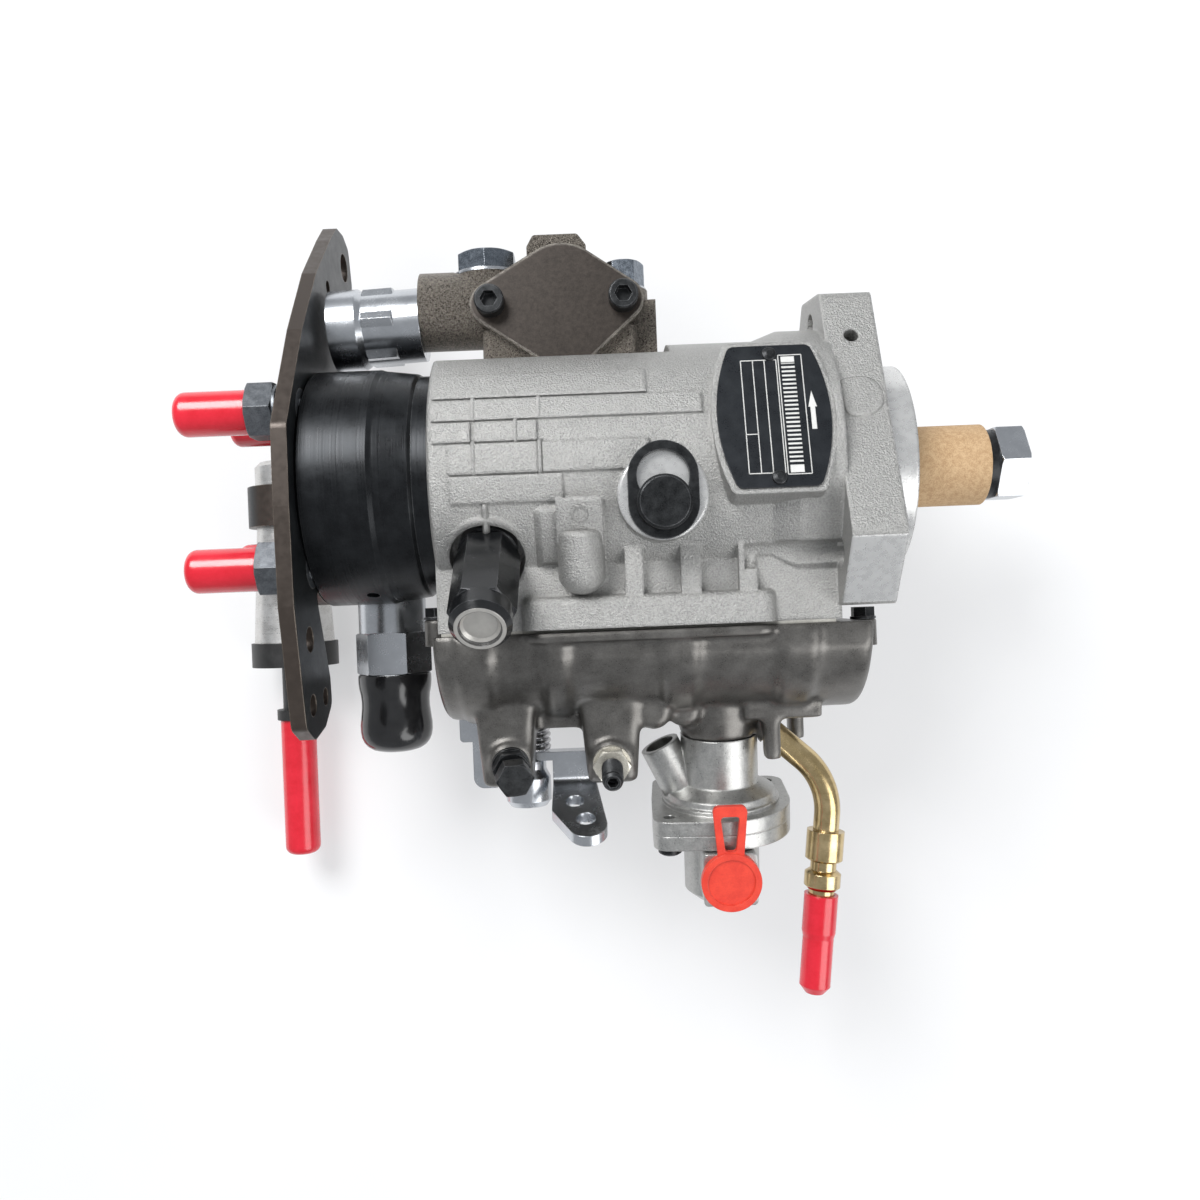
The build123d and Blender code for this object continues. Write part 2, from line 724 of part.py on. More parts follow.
nodes["governor_weights"] = make_weights()
thrust_x1 = carrier_x0 - CLEAR
nodes["thrust_sleeve"] = along_x(ring(THRUST_R, SHAFT_R + RUNNING), thrust_x1 - THRUST_LONG, thrust_x1)


# Bracket plate, its screws, the delivery outlets and their caps
def make_bracket_plate():
    arm = [
        (75.3, 3.7),
        (94.3, -17.6),
        (102.5, -28),
        (103, -38),
        (100, -46),
        (86.8, -50),
        (30, -26),
        (-30, 0),
        (-35, 20),
        (-65, 6),
        (-74, 5),
        (-81, 14),
        (-84, 27),
        (-79.4, 36.4),
        (-40.5, 44.9),
        (-9.5, 45.9),
        (15.7, 45.5),
        (50.5, 23.8),
    ]
    outline = make_face(Polyline(*arm, close=True))
    outline = fillet(outline.vertices(), 4.0) + disc(PLATE_DISC_R)
    for y, z in outlet_places():
        outline -= disc(OUTLET_NECK_R + SLIDING, y, z)
    for y, z, r in PLATE_HOLES:
        outline -= disc(r, y, z)
    return along_x(outline, HEAD_X0 - PLATE_THICK, HEAD_X0)


plate_x0 = HEAD_X0 - PLATE_THICK


def make_plate_screws():
    screws = Part()
    for y, z in PLATE_SCREWS:
        screw = hex_head(13.0, 6.5) + rod(PLATE_SCREW_R, -8, 0)
        screws += Pos(plate_x0, y, z) * (TO_MINUS_X * screw)
    return screws


def outlet_shape():
    """One delivery union pointing along +Z, its neck reaching down into the head."""
    bury = PLATE_THICK + OUTLET_BURY
    union = turned(
        (-bury, OUTLET_TAIL_R),
        (-PLATE_THICK, OUTLET_TAIL_R),
        (-PLATE_THICK, OUTLET_NECK_R),
        (1.5, OUTLET_NECK_R),
        (1.5, OUTLET_NECK_R + 1.5),
        (OUTLET_NECK_LONG, OUTLET_NECK_R + 1.5),
    )
    union += Pos(0, 0, OUTLET_NECK_LONG) * hex_head(OUTLET_HEX_AF, OUTLET_HEX_LONG)
    stub_z0 = OUTLET_NECK_LONG + OUTLET_HEX_LONG
    stub_z1 = stub_z0 + OUTLET_STUB_LONG
    union += turned((stub_z0, OUTLET_STUB_R), (stub_z1 - 1, OUTLET_STUB_R), (stub_z1, OUTLET_STUB_R - 1))
    return union - rod(OUTLET_BORE_R, stub_z0 + 6, stub_z1 + 1)


nodes["bracket_plate"] = make_bracket_plate()
for y, z in PLATE_SCREWS:
    hole = along_x(disc(PLATE_SCREW_R, y, z), plate_x0 - 1, HEAD_X0 + 3)
    for name in ("bracket_plate", "hydraulic_head", "head_liners"):
        nodes[name] -= hole
nodes["plate_screws"] = make_plate_screws()

outlet_unions = Part()
for y, z in outlet_places():
    outlet_unions += Pos(plate_x0, y, z) * (TO_MINUS_X * outlet_shape())
nodes["outlet_unions"] = outlet_unions

cap_x1 = plate_x0 - OUTLET_NECK_LONG - OUTLET_HEX_LONG
for number, (y, z) in enumerate(outlet_places(), start=1):
    cap = round_cap(OUTLET_STUB_R + SLIDING, CAP_WALL, CAP_LONG)
    nodes[f"outlet_cap_{number}"] = Pos(cap_x1 - SLIDING, y, z) * (TO_MINUS_X * cap)


# Advance unit on top of the cam box
def advance_face():
    """The oval face that carries the cover plate."""
    circles = Sketch() + [
        disc(EAR_R, EAR_X0, EAR_Y),
        disc(EAR_R, EAR_X1, EAR_Y),
        disc(ADVANCE_TOP_R, CAM_X, PISTON_Y + 3),
        disc(6.0, CAM_X - 5, MILLED_Y + 7.0),
        disc(6.0, CAM_X + 6, MILLED_Y + 7.0),
    ]
    return make_hull(circles.edges())


def advance_screw_holes(r, z0, z1):
    return along_z(disc(r, EAR_X0, EAR_Y) + disc(r, EAR_X1, EAR_Y), z0, z1)


fitting_lean = math.radians(FITTING_LEAN)
FITTING_AXIS = Plane(
    origin=(BARREL_X, BARREL_Y - FITTING_DROP, BARREL_Z),
    x_dir=(0, 0, 1),
    z_dir=(-math.cos(fitting_lean), -math.sin(fitting_lean), 0),
)


def make_advance_housing():
    base = fillet(block(CAM_X - 28, CAM_X + 25.5, ADVANCE_BACK_Z + 4, 8).vertices(), 4.0)
    housing = along_y(base, PISTON_Y - 8, MILLED_Y)
    housing += along_z(advance_face(), ADVANCE_FACE_Z - ADVANCE_FACE_THICK, ADVANCE_FACE_Z)
    housing += rod(PISTON_R + ADVANCE_WALL, ADVANCE_BACK_Z, ADVANCE_FACE_Z - 2, CAM_X, PISTON_Y)
    web = block(CAM_X - 16, CAM_X + 16, MILLED_Y, PISTON_Y)
    housing += along_z(web, ADVANCE_BACK_Z + 2, ADVANCE_FACE_Z - 2)
    housing += along_x(disc(BARREL_R, BARREL_Y, BARREL_Z), BARREL_X, BARREL_X + 28)
    housing += along_y(disc(12.0, TOP_PLUG_X, BARREL_Z), TOP_PLUG_Y, BARREL_Y)
    crown_x = (-11.6, -11.6, -9.3, 6.0, 9.0, 9.0)
    crown_y = (16, 21, 25, 25, 21, 16)
    crown = [(CAM_X + x, PISTON_Y + y) for x, y in zip(crown_x, crown_y)]
    crown = make_face(Polyline(*crown, close=True))
    housing += along_z(fillet(crown.vertices().sort_by(Axis.Y)[2:], 1.5), -16, 5)
    housing += along_y(disc(8.5, SIDE_BOLT_X, SIDE_BOLT_Z), SIDE_BOLT_Y, MILLED_Y)
    housing += along_z(block(CAM_X + 25, CAM_X + 32.5, MILLED_Y, PISTON_Y + 2), -12, 2)
    housing -= rod(PISTON_R + RUNNING, ADVANCE_BACK_Z + 4, ADVANCE_FACE_Z + 1, CAM_X, PISTON_Y)
    housing -= along_y(stud_slot(), PISTON_Y, MILLED_Y - 1)
    housing -= advance_screw_holes(ADVANCE_SCREW_R, ADVANCE_FACE_Z - 12, ADVANCE_FACE_Z + 1)
    housing -= FITTING_AXIS * rod(BARREL_HOLE_R, -14, 2)
    housing -= FITTING_AXIS * rod(FITTING_R + CLEAR, 0, 3)
    housing -= along_y(disc(12.6, TOP_PLUG_X, BARREL_Z), TOP_PLUG_Y + 12, TOP_PLUG_Y)
    housing -= along_y(disc(TOP_PLUG_R, TOP_PLUG_X, BARREL_Z), TOP_PLUG_Y + 1, TOP_PLUG_Y - 10)
    return housing - along_y(disc(SIDE_BOLT_R, SIDE_BOLT_X, SIDE_BOLT_Z), SIDE_BOLT_Y + 1, SIDE_BOLT_Y - 14)


def make_piston():
    piston = rod(PISTON_R, PISTON_Z0, PISTON_Z0 + PISTON_LONG, CAM_X, PISTON_Y)
    ball_z = PISTON_Y * math.sin(math.radians(STUD_REST_ANGLE))
    return piston - along_y(disc(STUD_BALL_R + RUNNING, CAM_X, ball_z), PISTON_Y + 7, PISTON_Y - PISTON_R - 1)


def make_advance_screws():
    screws = Part()
    for x in (EAR_X0, EAR_X1):
        screw = socket_screw(ADVANCE_SCREW_R, 5.0, 6.0, 14.0)
        screws += Pos(x, EAR_Y, ADVANCE_FACE_Z + COVER_PLATE_THICK) * screw
    return screws


def make_advance_fitting():
    """The union on the end of the advance barrel, its far end close to the bracket plate."""
    fitting = turned(
        (-12, BARREL_HOLE_R),
        (0, BARREL_HOLE_R),
        (0, FITTING_R),
        (FITTING_LONG - 12, FITTING_R),
        (FITTING_LONG - 10, FITTING_END_R),
        (FITTING_LONG, FITTING_END_R),
    )
    fitting += Pos(0, 0, 9) * hex_head(FITTING_HEX_AF, 11.0)
    return FITTING_AXIS * Pos(0, 0, SLIDING) * fitting


nodes["advance_housing"] = make_advance_housing()
nodes["advance_piston"] = make_piston()
advance_cover = along_z(advance_face(), ADVANCE_FACE_Z, ADVANCE_FACE_Z + COVER_PLATE_THICK)
nodes["advance_cover"] = advance_cover - advance_screw_holes(ADVANCE_SCREW_R, 0, 20)
nodes["advance_screws"] = make_advance_screws()
nodes["advance_fitting"] = make_advance_fitting()
top_plug = Rot(0, 0, 30) * hex_head(19.5, 8.0, 1.6) + rod(TOP_PLUG_R, -9, 0)
top_plug = Pos(TOP_PLUG_X, TOP_PLUG_Y, BARREL_Z) * (TO_PLUS_Y * top_plug)
side_bolt = Pos(0, 0, 1.5) * hex_head(13.0, 8.5) + rod(SIDE_BOLT_R, -12, 1) + rod(7.4, 0, 1.5)
side_bolt = Pos(SIDE_BOLT_X, SIDE_BOLT_Y, SIDE_BOLT_Z) * (TO_PLUS_Y * side_bolt)
nodes["advance_plugs"] = top_plug + side_bolt


# Governor cover, gasket and its fittings
cover_top_y = COVER_JOINT_Y - GASKET_THICK
boost_lean = math.radians(BOOST_LEAN)
BOOST_AXIS = Plane(
    origin=(BOOST_X, BOOST_SEAT_Y, 0),
    x_dir=(1, 0, 0),
    z_dir=(0, -math.cos(boost_lean), -math.sin(boost_lean)),
)


def cover_section(half_wide, bottom_y, top_y):
    """A half-round section with straight upper sides, open to the joint."""
    side_y = top_y - 8
    side = [(top_y, -half_wide), (side_y, -half_wide)]
    left = Line(side[0], side[1])
    bowl = ThreePointArc((side_y, -half_wide), (bottom_y, 0), (side_y, half_wide))
    right = Line((side_y, half_wide), (top_y, half_wide))
    top = Line((top_y, half_wide), (top_y, -half_wide))
    return make_face(left + bowl + right + top)


def make_governor_cover():
    cover = along_x(cover_section(COVER_HALF_WIDE, COVER_BOTTOM_Y, cover_top_y), COVER_X0, COVER_X1)
    cover = fillet(cover.edges().filter_by(GeomType.CIRCLE), 3.0)
    lobe_half = COVER_HALF_WIDE + COVER_LOBE_RISE
    for x0, x1 in COVER_LOBES:
        lobe = along_x(cover_section(lobe_half, COVER_BOTTOM_Y - COVER_LOBE_RISE, cover_top_y), x0, x1)
        cover += fillet(lobe.edges().filter_by(GeomType.CIRCLE), 1.5)
    flange = Pos((RAIL_X0 + RAIL_X1) / 2, 0) * Rectangle(RAIL_X1 - RAIL_X0, 2 * RAIL_HALF_WIDE)
    flange = fillet(flange.vertices(), RAIL_CORNER_R)
    cover += along_y(flange, cover_top_y, cover_top_y - COVER_FLANGE_HIGH)
    cover += make_posts()
    cover += BOOST_AXIS * rod(BOOST_NECK_R, -16, 0)

    # Hollow that holds the governor arm and links
    hollow = cover_section(COVER_HALF_WIDE - COVER_WALL, COVER_BOTTOM_Y + COVER_WALL, cover_top_y + 1)
    cover -= along_x(hollow, COVER_X0 + COVER_WALL + 6, COVER_X1 - COVER_WALL - 6)
    cover -= along_y(disc(THROTTLE_R + RUNNING, THROTTLE_X, THROTTLE_Z), cover_top_y, COVER_BOTTOM_Y - 20)
    for plane, r in stop_screw_places():
        cover += plane * rod(SCREW_SEAT_R, -4, SCREW_SEAT)
        cover -= plane * rod(SCREW_SEAT_R, SCREW_SEAT, 14)
        cover -= plane * rod(r, -30, 20)
    cover += pipe_direction() * rod(PIPE_SOCKET_R, -12, PIPE_SOCKET_LONG)
    cover -= pipe_direction() * rod(PIPE_R, 0, PIPE_SOCKET_LONG + 1)
    cover -= BOOST_AXIS * rod(BOOST_NECK_R, 0, BOOST_NECK_LONG)
    return cover - BOOST_AXIS * rod(BOOST_ROD_R + 0.5, -26, 1)


def pipe_direction():
    """A plane whose normal runs along the pipe's first straight."""
    dx = PIPE_BEND[0] - PIPE_START[0]
    dy = PIPE_BEND[1] - PIPE_START[1]
    return Plane(origin=(PIPE_START[0], PIPE_START[1], 0), z_dir=(dx, dy, 0))


def make_posts():
    """Two tapered posts with rounded corners, a bar between them, and bosses beside."""
    posts = Part()
    for x_mid in (-126.0, -91.0):
        top = TO_MINUS_Y * Pos(x_mid, POST_FRONT_Z - POST_DEEP / 2, -COVER_BOTTOM_Y - 8)
        wide = fillet(Rectangle(21, POST_DEEP + 3).vertices(), 3.0)
        narrow = fillet(Rectangle(16.5, POST_DEEP).vertices(), 3.0)
        long = COVER_BOTTOM_Y + 8 - POST_BOTTOM_Y
        post = loft([top * wide, top * Pos(0, 0, long) * narrow])
        posts += fillet(post.edges().group_by(Axis.Y)[0], 1.5)
    posts += along_y(block(-118, -98, 4, 12), COVER_BOTTOM_Y + 6, COVER_BOTTOM_Y - 3)
    boss = turned((0, 6.5), (20, 6.0), (22, 4.5))
    for x, z in ((-76.5, 10), (-66, 6)):
        posts += Pos(x, COVER_BOTTOM_Y + 2, z - 12) * boss
    for x0, x1, z0, z1, y1 in ((-39.5, -34.0, 8, 16, -98), (-26.5, -21.0, -18, -10, -95)):
        posts += along_y(fillet(block(x0, x1, z0, z1).vertices(), 1.2), COVER_BOTTOM_Y + 12, y1)
    posts += along_y(block(-46, -20, -18, 16), COVER_BOTTOM_Y + 8, COVER_BOTTOM_Y - 2.5)
    return posts


def stop_screw_places():
    """The seat of each stop screw on its post, and each screw's radius."""
    first = Plane(origin=(-125.0, -94.8, POST_FRONT_Z), x_dir=(1, 0, 0), z_dir=(0.2, -0.28, 0.94))
    second = Plane(origin=(-91.2, -95.5, POST_FRONT_Z), x_dir=(1, 0, 0), z_dir=(0.0, -0.26, 0.96))
    return [(first, STOP_SCREW_R), (second, SPEED_SCREW_R)]


nodes["governor_cover"] = make_governor_cover()
gasket = block(COVER_X0 + 3, -18, -BODY_HALF_WIDE, BODY_HALF_WIDE)
gasket -= block(WINDOW_X0 - 2, WINDOW_X1 + 2, -WINDOW_HALF_WIDE - 1, WINDOW_HALF_WIDE + 1)
nodes["governor_gasket"] = along_y(gasket, COVER_JOINT_Y, cover_top_y)


# Stop screws and their locknuts
(idle_seat, idle_r), (speed_seat, speed_r) = stop_screw_places()
idle_screw = rod(idle_r, 9.0 - STOP_SCREW_LONG, 9.0) + Pos(0, 0, 9.0) * hex_head(10.8, 5.0)
nodes["idle_screw"] = idle_seat * idle_screw
stud = rod(speed_r, 17.0 - SPEED_SCREW_LONG, 17.0)
stud = chamfer(stud.edges().sort_by(Axis.Z)[-1], 0.8)
stud -= Pos(0, 0, 13.0) * extrude(hexagon(3.2), 5)
nodes["speed_screw"] = speed_seat * stud
locknut = Pos(0, 0, SCREW_SEAT) * hex_head(LOCKNUT_AF, LOCKNUT_THICK)
locknut += rod(6.3, SCREW_SEAT, SCREW_SEAT + 1.2)
nodes["stop_locknuts"] = idle_seat * (locknut - rod(idle_r, 0, 20))
nodes["stop_locknuts"] += speed_seat * (locknut - rod(speed_r, 0, 20))

# Throttle shaft, lever, nut and return spring


def lever_outline():
    """The lever seen along the throttle shaft, its axes X and Z."""
    root = block(THROTTLE_X, THROTTLE_X + 23, LEVER_BACK_Z - 5, LEVER_BACK_Z + 4)
    blank = Sketch() + [disc(LEVER_TIP_R, *LEVER_TIP), root]
    outline = make_hull(blank.edges()) + disc(9.0, THROTTLE_X, THROTTLE_Z)
    for x, z in LEVER_HOLES:
        outline -= disc(LEVER_HOLE_R, x, z)
    return outline


def make_lever():
    """A pressed lever, a flat hub bent down and then forward into a drooping tongue."""
    droop = math.radians(LEVER_DROOP)
    wall_z = LEVER_BACK_Z + LEVER_THICK / 2
    bend_y = LEVER_TOP_Y - 8.0
    turn = math.radians(90 - LEVER_DROOP)
    centre = (bend_y, wall_z + LEVER_BEND_R)
    arc_mid = (
        centre[0] - LEVER_BEND_R * math.sin(turn / 2),
        centre[1] - LEVER_BEND_R * math.cos(turn / 2),
    )
    arc_end = (centre[0] - LEVER_BEND_R * math.sin(turn), centre[1] - LEVER_BEND_R * math.cos(turn))
    tip = (
        arc_end[0] - LEVER_TONGUE * math.sin(droop),
        arc_end[1] + LEVER_TONGUE * math.cos(droop),
    )
    start = (LEVER_TOP_Y, wall_z)
    path = Line(start, (bend_y, wall_z))
    path += ThreePointArc((bend_y, wall_z), arc_mid, arc_end)
    path += Line(arc_end, tip)
    strip = along_x(trace(path, LEVER_THICK), THROTTLE_X + NUT_CUP_R + 1, THROTTLE_X + 40)
    hub = block(THROTTLE_X - 10, THROTTLE_X + 40, -30, wall_z + LEVER_THICK / 2)
    hub = along_y(hub, LEVER_TOP_Y, LEVER_TOP_Y - LEVER_THICK)
    lever = (strip + hub) & along_y(lever_outline(), LEVER_TOP_Y + 1, LEVER_TOP_Y - 40)
    return lever - along_y(disc(THROTTLE_R, THROTTLE_X, THROTTLE_Z), LEVER_TOP_Y + 1, LEVER_TOP_Y - 10)


throttle_shaft = along_y(disc(THROTTLE_R, THROTTLE_X, THROTTLE_Z), THROTTLE_TOP_Y, THROTTLE_END_Y)
crank = block(THROTTLE_X - 2, THROTTLE_X + 9, THROTTLE_Z - 4, THROTTLE_Z + 4)
throttle_shaft += along_y(crank, THROTTLE_TOP_Y, THROTTLE_TOP_Y - 5)
nodes["throttle_shaft"] = throttle_shaft
nodes["throttle_lever"] = make_lever()
cup_y = LEVER_TOP_Y - LEVER_THICK
cup = turned(
    (0, NUT_NECK_R),
    (3.0, NUT_NECK_R),
    (6.0, NUT_CUP_R),
    (14.0, NUT_CUP_R),
    (16.0, NUT_CUP_R - 1.5),
)
cup = Pos(THROTTLE_X, cup_y, THROTTLE_Z) * (TO_MINUS_Y * cup)
nodes["throttle_nut"] = cup - along_y(disc(THROTTLE_R, THROTTLE_X, THROTTLE_Z), cup_y + 1, THROTTLE_END_Y)

helix = Helix(SPRING_PITCH, SPRING_HIGH, SPRING_R)
wire = Plane(origin=helix @ 0, z_dir=helix % 0) * Circle(SPRING_WIRE_R)
spring = sweep(wire, path=helix, is_frenet=True)
spring_y = LEVER_TOP_Y + SPRING_WIRE_R + CLEAR + SPRING_HIGH
nodes["return_spring"] = Pos(THROTTLE_X, spring_y, THROTTLE_Z) * (TO_MINUS_Y * spring)

bracket = along_z(fillet(block(-146, -129, -92, -76).vertices(), 1.5), -17, -14)
tab = block(-141.5, -133.0, -109, -84)
bracket += along_z(fillet(tab.vertices().sort_by(Axis.Y)[:1], 4.0), -17, -14)
nodes["lever_bracket"] = bracket - nodes["governor_cover"]


# Boost control unit, built along its own axis that leans back from the data plate's side

def boost_ears():
    """The ears' centres on the boost unit's own axes."""
    return [polar(BOOST_EAR_PCR, angle) for angle in BOOST_EARS]


def boost_flange():
    circles = Sketch() + disc(BOOST_FLANGE_R)
    for a, b in boost_ears():
        circles += disc(BOOST_EAR_R, a, b)
    return make_hull(circles.edges())


def boost_holes(r, s0, s1):
    holes = Sketch()
    for a, b in boost_ears():
        holes += disc(r, a, b)
    return extrude(Plane.XY.offset(s0) * holes, s1 - s0)


def make_boost_body():
    body = turned(
        (0, BOOST_NECK_R - CLEAR),
        (BOOST_NECK_LONG, BOOST_NECK_R - CLEAR),
        (BOOST_NECK_LONG + 3.0, BOOST_RIM_R - 1.5),
        (BOOST_RIM_S - 0.5, BOOST_RIM_R - 1.0),
        (BOOST_RIM_S, BOOST_RIM_R),
        (BOOST_RIM_S + 2, BOOST_RIM_R),
    )
    body += extrude(Plane.XY.offset(BOOST_RIM_S + 1.5) * boost_flange(), BOOST_SPLIT_S - BOOST_RIM_S - 1.5)
    elbow = Plane(origin=(-12, 0, BOOST_RIM_S), z_dir=(-0.42, 0, -0.9))
    body += elbow * rod(7.0, 0, 21)
    body -= elbow * rod(5.2, 17, 22)
    body -= rod(BOOST_ROD_R + 0.5, -1, BOOST_RIM_S + 3)
    body -= rod(BOOST_CAVITY_R, BOOST_RIM_S + 2, BOOST_SPLIT_S + 1)
    return body - boost_holes(BOOST_SCREW_R, 0, BOOST_SPLIT_S + 1)


def make_boost_cover():
    cover = extrude(Plane.XY.offset(BOOST_SPLIT_S) * boost_flange(), BOOST_BASE_S - BOOST_SPLIT_S)
    bowl_end = BOOST_END_S - 3
    bowl = turned((BOOST_BASE_S - 1, BOOST_CUP_R), (bowl_end, BOOST_CUP_R), (BOOST_END_S, BOOST_CUP_R - 3.5))
    port = Box(PORT_WIDE, PORT_Z, PORT_WIDE, align=(Align.CENTER, Align.MIN, Align.CENTER))
    port = fillet(port.edges().filter_by(Axis.Y), 1.5)
    cover += bowl + Pos(0, 0, PORT_S) * port
    cover -= rod(BOOST_CUP_BORE_R, BOOST_SPLIT_S - 1, BOOST_END_S - 4)
    cover -= Pos(0, PORT_Z - 22, PORT_S) * (TO_PLUS_Y * rod(PORT_R, 0, 23))
    return cover - boost_holes(BOOST_SCREW_R, BOOST_SPLIT_S - 1, BOOST_BASE_S + 1)


def make_boost_screws():
    screws = Part()
    for a, b in boost_ears():
        screw = rod(BOOST_SCREW_R, BOOST_RIM_S + 3 - BOOST_BASE_S, 1)
        screw += turned((0, 4.0), (2.0, 4.0), (2.6, 3.2))
        screws += Pos(a, b, BOOST_BASE_S) * screw
    return screws


def make_flag_plug():
    """A press-in plug with a pull strap, its face towards +Z."""
    face = rod(10.0, 0, 2.6) - rod(7.9, 2.0, 3)
    pin = rod(PORT_R - SLIDING, -8, 1)
    strap = make_face(Polyline((-4.3, 8.5), (4.3, 8.5), (5.8, 26), (-5.8, 26), close=True))
    strap = fillet(strap.vertices().sort_by(Axis.Y)[-2:], 2.0)
    window = make_face(Polyline((-1.8, 10.5), (1.8, 10.5), (3.2, 22.5), (-3.2, 22.5), close=True))
    strap -= fillet(window.vertices(), 1.2)
    return face + pin + extrude(strap, 2.0)


nodes["boost_body"] = BOOST_AXIS * make_boost_body()
nodes["boost_cover"] = BOOST_AXIS * make_boost_cover()
nodes["boost_screws"] = BOOST_AXIS * make_boost_screws()
boost_rod = rod(BOOST_ROD_R, -20, BOOST_SPLIT_S - 2)
boost_rod += rod(BOOST_PLATE_R, BOOST_SPLIT_S - 2.2, BOOST_SPLIT_S - 0.7)
nodes["boost_rod"] = BOOST_AXIS * boost_rod
diaphragm = ring(BOOST_CAVITY_R, BOOST_PLATE_R + CLEAR)
nodes["boost_diaphragm"] = BOOST_AXIS * along_z(diaphragm, BOOST_SPLIT_S - DIAPHRAGM_THICK, BOOST_SPLIT_S)
flag_place = BOOST_AXIS * Pos(0, PORT_Z + SLIDING, PORT_S)
nodes["flag_plug"] = flag_place * (TO_PLUS_Y * make_flag_plug())

# Fuel inlet fitting under the head, with its push-on cap
inlet_hex_end = INLET_HEX_Y - INLET_HEX_LONG
inlet = along_y(disc(INLET_NECK_R, INLET_X, INLET_Z), inlet_top_y, INLET_HEX_Y)
collar = along_y(disc(INLET_R, INLET_X, INLET_Z), inlet_top_y - 4, INLET_HEX_Y)
inlet += collar - along_x(disc(HEAD_R + SLIDING), HEAD_X0, HEAD_X0 + 60)
inlet += Pos(INLET_X, INLET_HEX_Y, INLET_Z) * (TO_MINUS_Y * hex_head(INLET_HEX_AF, INLET_HEX_LONG))
inlet += along_y(disc(INLET_END_R, INLET_X, INLET_Z), inlet_hex_end, inlet_hex_end - INLET_END_LONG)
nodes["inlet_fitting"] = inlet
inlet_cap = turned((0, 13.3), (7.0, 13.3), (8.0, 12.7), (25.0, 12.7), (29.0, 9.0))
inlet_cap -= Cylinder(INLET_END_R + SLIDING, 2 * (INLET_END_LONG + 1))
nodes["inlet_cap"] = Pos(INLET_X, inlet_hex_end - SLIDING, INLET_Z) * (TO_MINUS_Y * inlet_cap)

# Stop solenoid in its clamp beside the head
solenoid_long = SOLENOID_TOP_Y - SOLENOID_END_Y
can = turned(
    (0, SOLENOID_TOP_R - 2),
    (2, SOLENOID_TOP_R),
    (26, SOLENOID_TOP_R),
    (solenoid_long, SOLENOID_R),
)
solenoid_top = Pos(SOLENOID_X, SOLENOID_TOP_Y, SOLENOID_Z)
nodes["solenoid_can"] = solenoid_top * (TO_MINUS_Y * can)
terminal = turned(
    (0, COLLAR_R),
    (COLLAR_LONG, COLLAR_R),
    (COLLAR_LONG, STEM_R),
    (STEM_LONG, STEM_R),
    (STEM_LONG, STEM_FLANGE_R),
    (STEM_LONG + 4.0, STEM_FLANGE_R),
    (STEM_LONG + 4.0, STEM_STUB_R),
    (STEM_LONG + 46.0, STEM_STUB_R),
)
nodes["solenoid_terminal"] = Pos(SOLENOID_X, SOLENOID_END_Y, SOLENOID_Z) * (TO_MINUS_Y * terminal)
stem_cap = round_cap(STEM_STUB_R + SLIDING, 2.2, 54.0)
stem_cap_y = SOLENOID_END_Y - STEM_LONG - 4.0 - SLIDING
nodes["terminal_cap"] = Pos(SOLENOID_X, stem_cap_y, SOLENOID_Z) * (TO_MINUS_Y * stem_cap)
clamp = ring(SOLENOID_TOP_R + CLAMP_WALL, SOLENOID_TOP_R, SOLENOID_X, SOLENOID_Z)
strap_x0 = SOLENOID_X + SOLENOID_TOP_R
clamp += block(strap_x0, strap_x0 + CLAMP_WALL, SOLENOID_Z, -22.0)
clamp += block(strap_x0, plate_x0, -22.0 - CLAMP_WALL, -22.0)
nodes["solenoid_clamp"] = along_y(clamp, CLAMP_Y, CLAMP_Y - CLAMP_HIGH)

# Return pipe with its hose end and cap
pipe_lean = math.radians(PIPE_LEAN)
pipe_down = (-math.sin(pipe_lean), -math.cos(pipe_lean))
pipe_end = (PIPE_BEND[0] + pipe_down[0] * PIPE_DROP, PIPE_BEND[1] + pipe_down[1] * PIPE_DROP)
pipe_path = FilletPolyline(PIPE_START, PIPE_BEND, pipe_end, radius=PIPE_BEND_R)
pipe = sweep(pipe_direction() * Circle(PIPE_R), path=pipe_path)
PIPE_FRAME = Plane(origin=(PIPE_BEND[0], PIPE_BEND[1], 0), z_dir=(pipe_down[0], pipe_down[1], 0))
pipe += PIPE_FRAME * turned((17.6, 6.5), (27.5, 6.5), (28.2, 5.6))
pipe += PIPE_FRAME * turned((31.5, 5.0), (32.5, 6.3), (37.0, 6.3), (38.2, 5.0))
pipe -= PIPE_FRAME * rod(PIPE_R - PIPE_WALL, PIPE_DROP - 31, PIPE_DROP + 1)
nodes["return_pipe"] = pipe
pipe_cap = turned((0, 5.9), (13.0, 5.9), (15.0, 5.4), (32.0, 5.4), (34.5, 3.4))
pipe_cap = Pos(0, 0, 40.0) * (pipe_cap - rod(PIPE_R + SLIDING, -1, PIPE_DROP - 39.0))
nodes["pipe_cap"] = PIPE_FRAME * pipe_cap

# Data plate and its rivets
data_plate = extrude(data_plate_outline(), DATA_PLATE_THICK)
rivets = Part()
for y in (PAD_LONG / 2 - RIVET_INSET, RIVET_INSET - PAD_LONG / 2):
    rivet_hole = rod(RIVET_R, -RIVET_LONG, DATA_PLATE_THICK + 1, 0, y)
    data_plate -= rivet_hole
    nodes["pump_body"] -= PAD_SEAT * rivet_hole
    rivet = turned((-RIVET_LONG, RIVET_R), (0, RIVET_R), (0, 2.4), (0.7, 2.1), (1.2, 1.0))
    rivets += Pos(0, y, DATA_PLATE_THICK) * rivet
nodes["data_plate"] = PAD_SEAT * data_plate
nodes["plate_rivets"] = PAD_SEAT * rivets

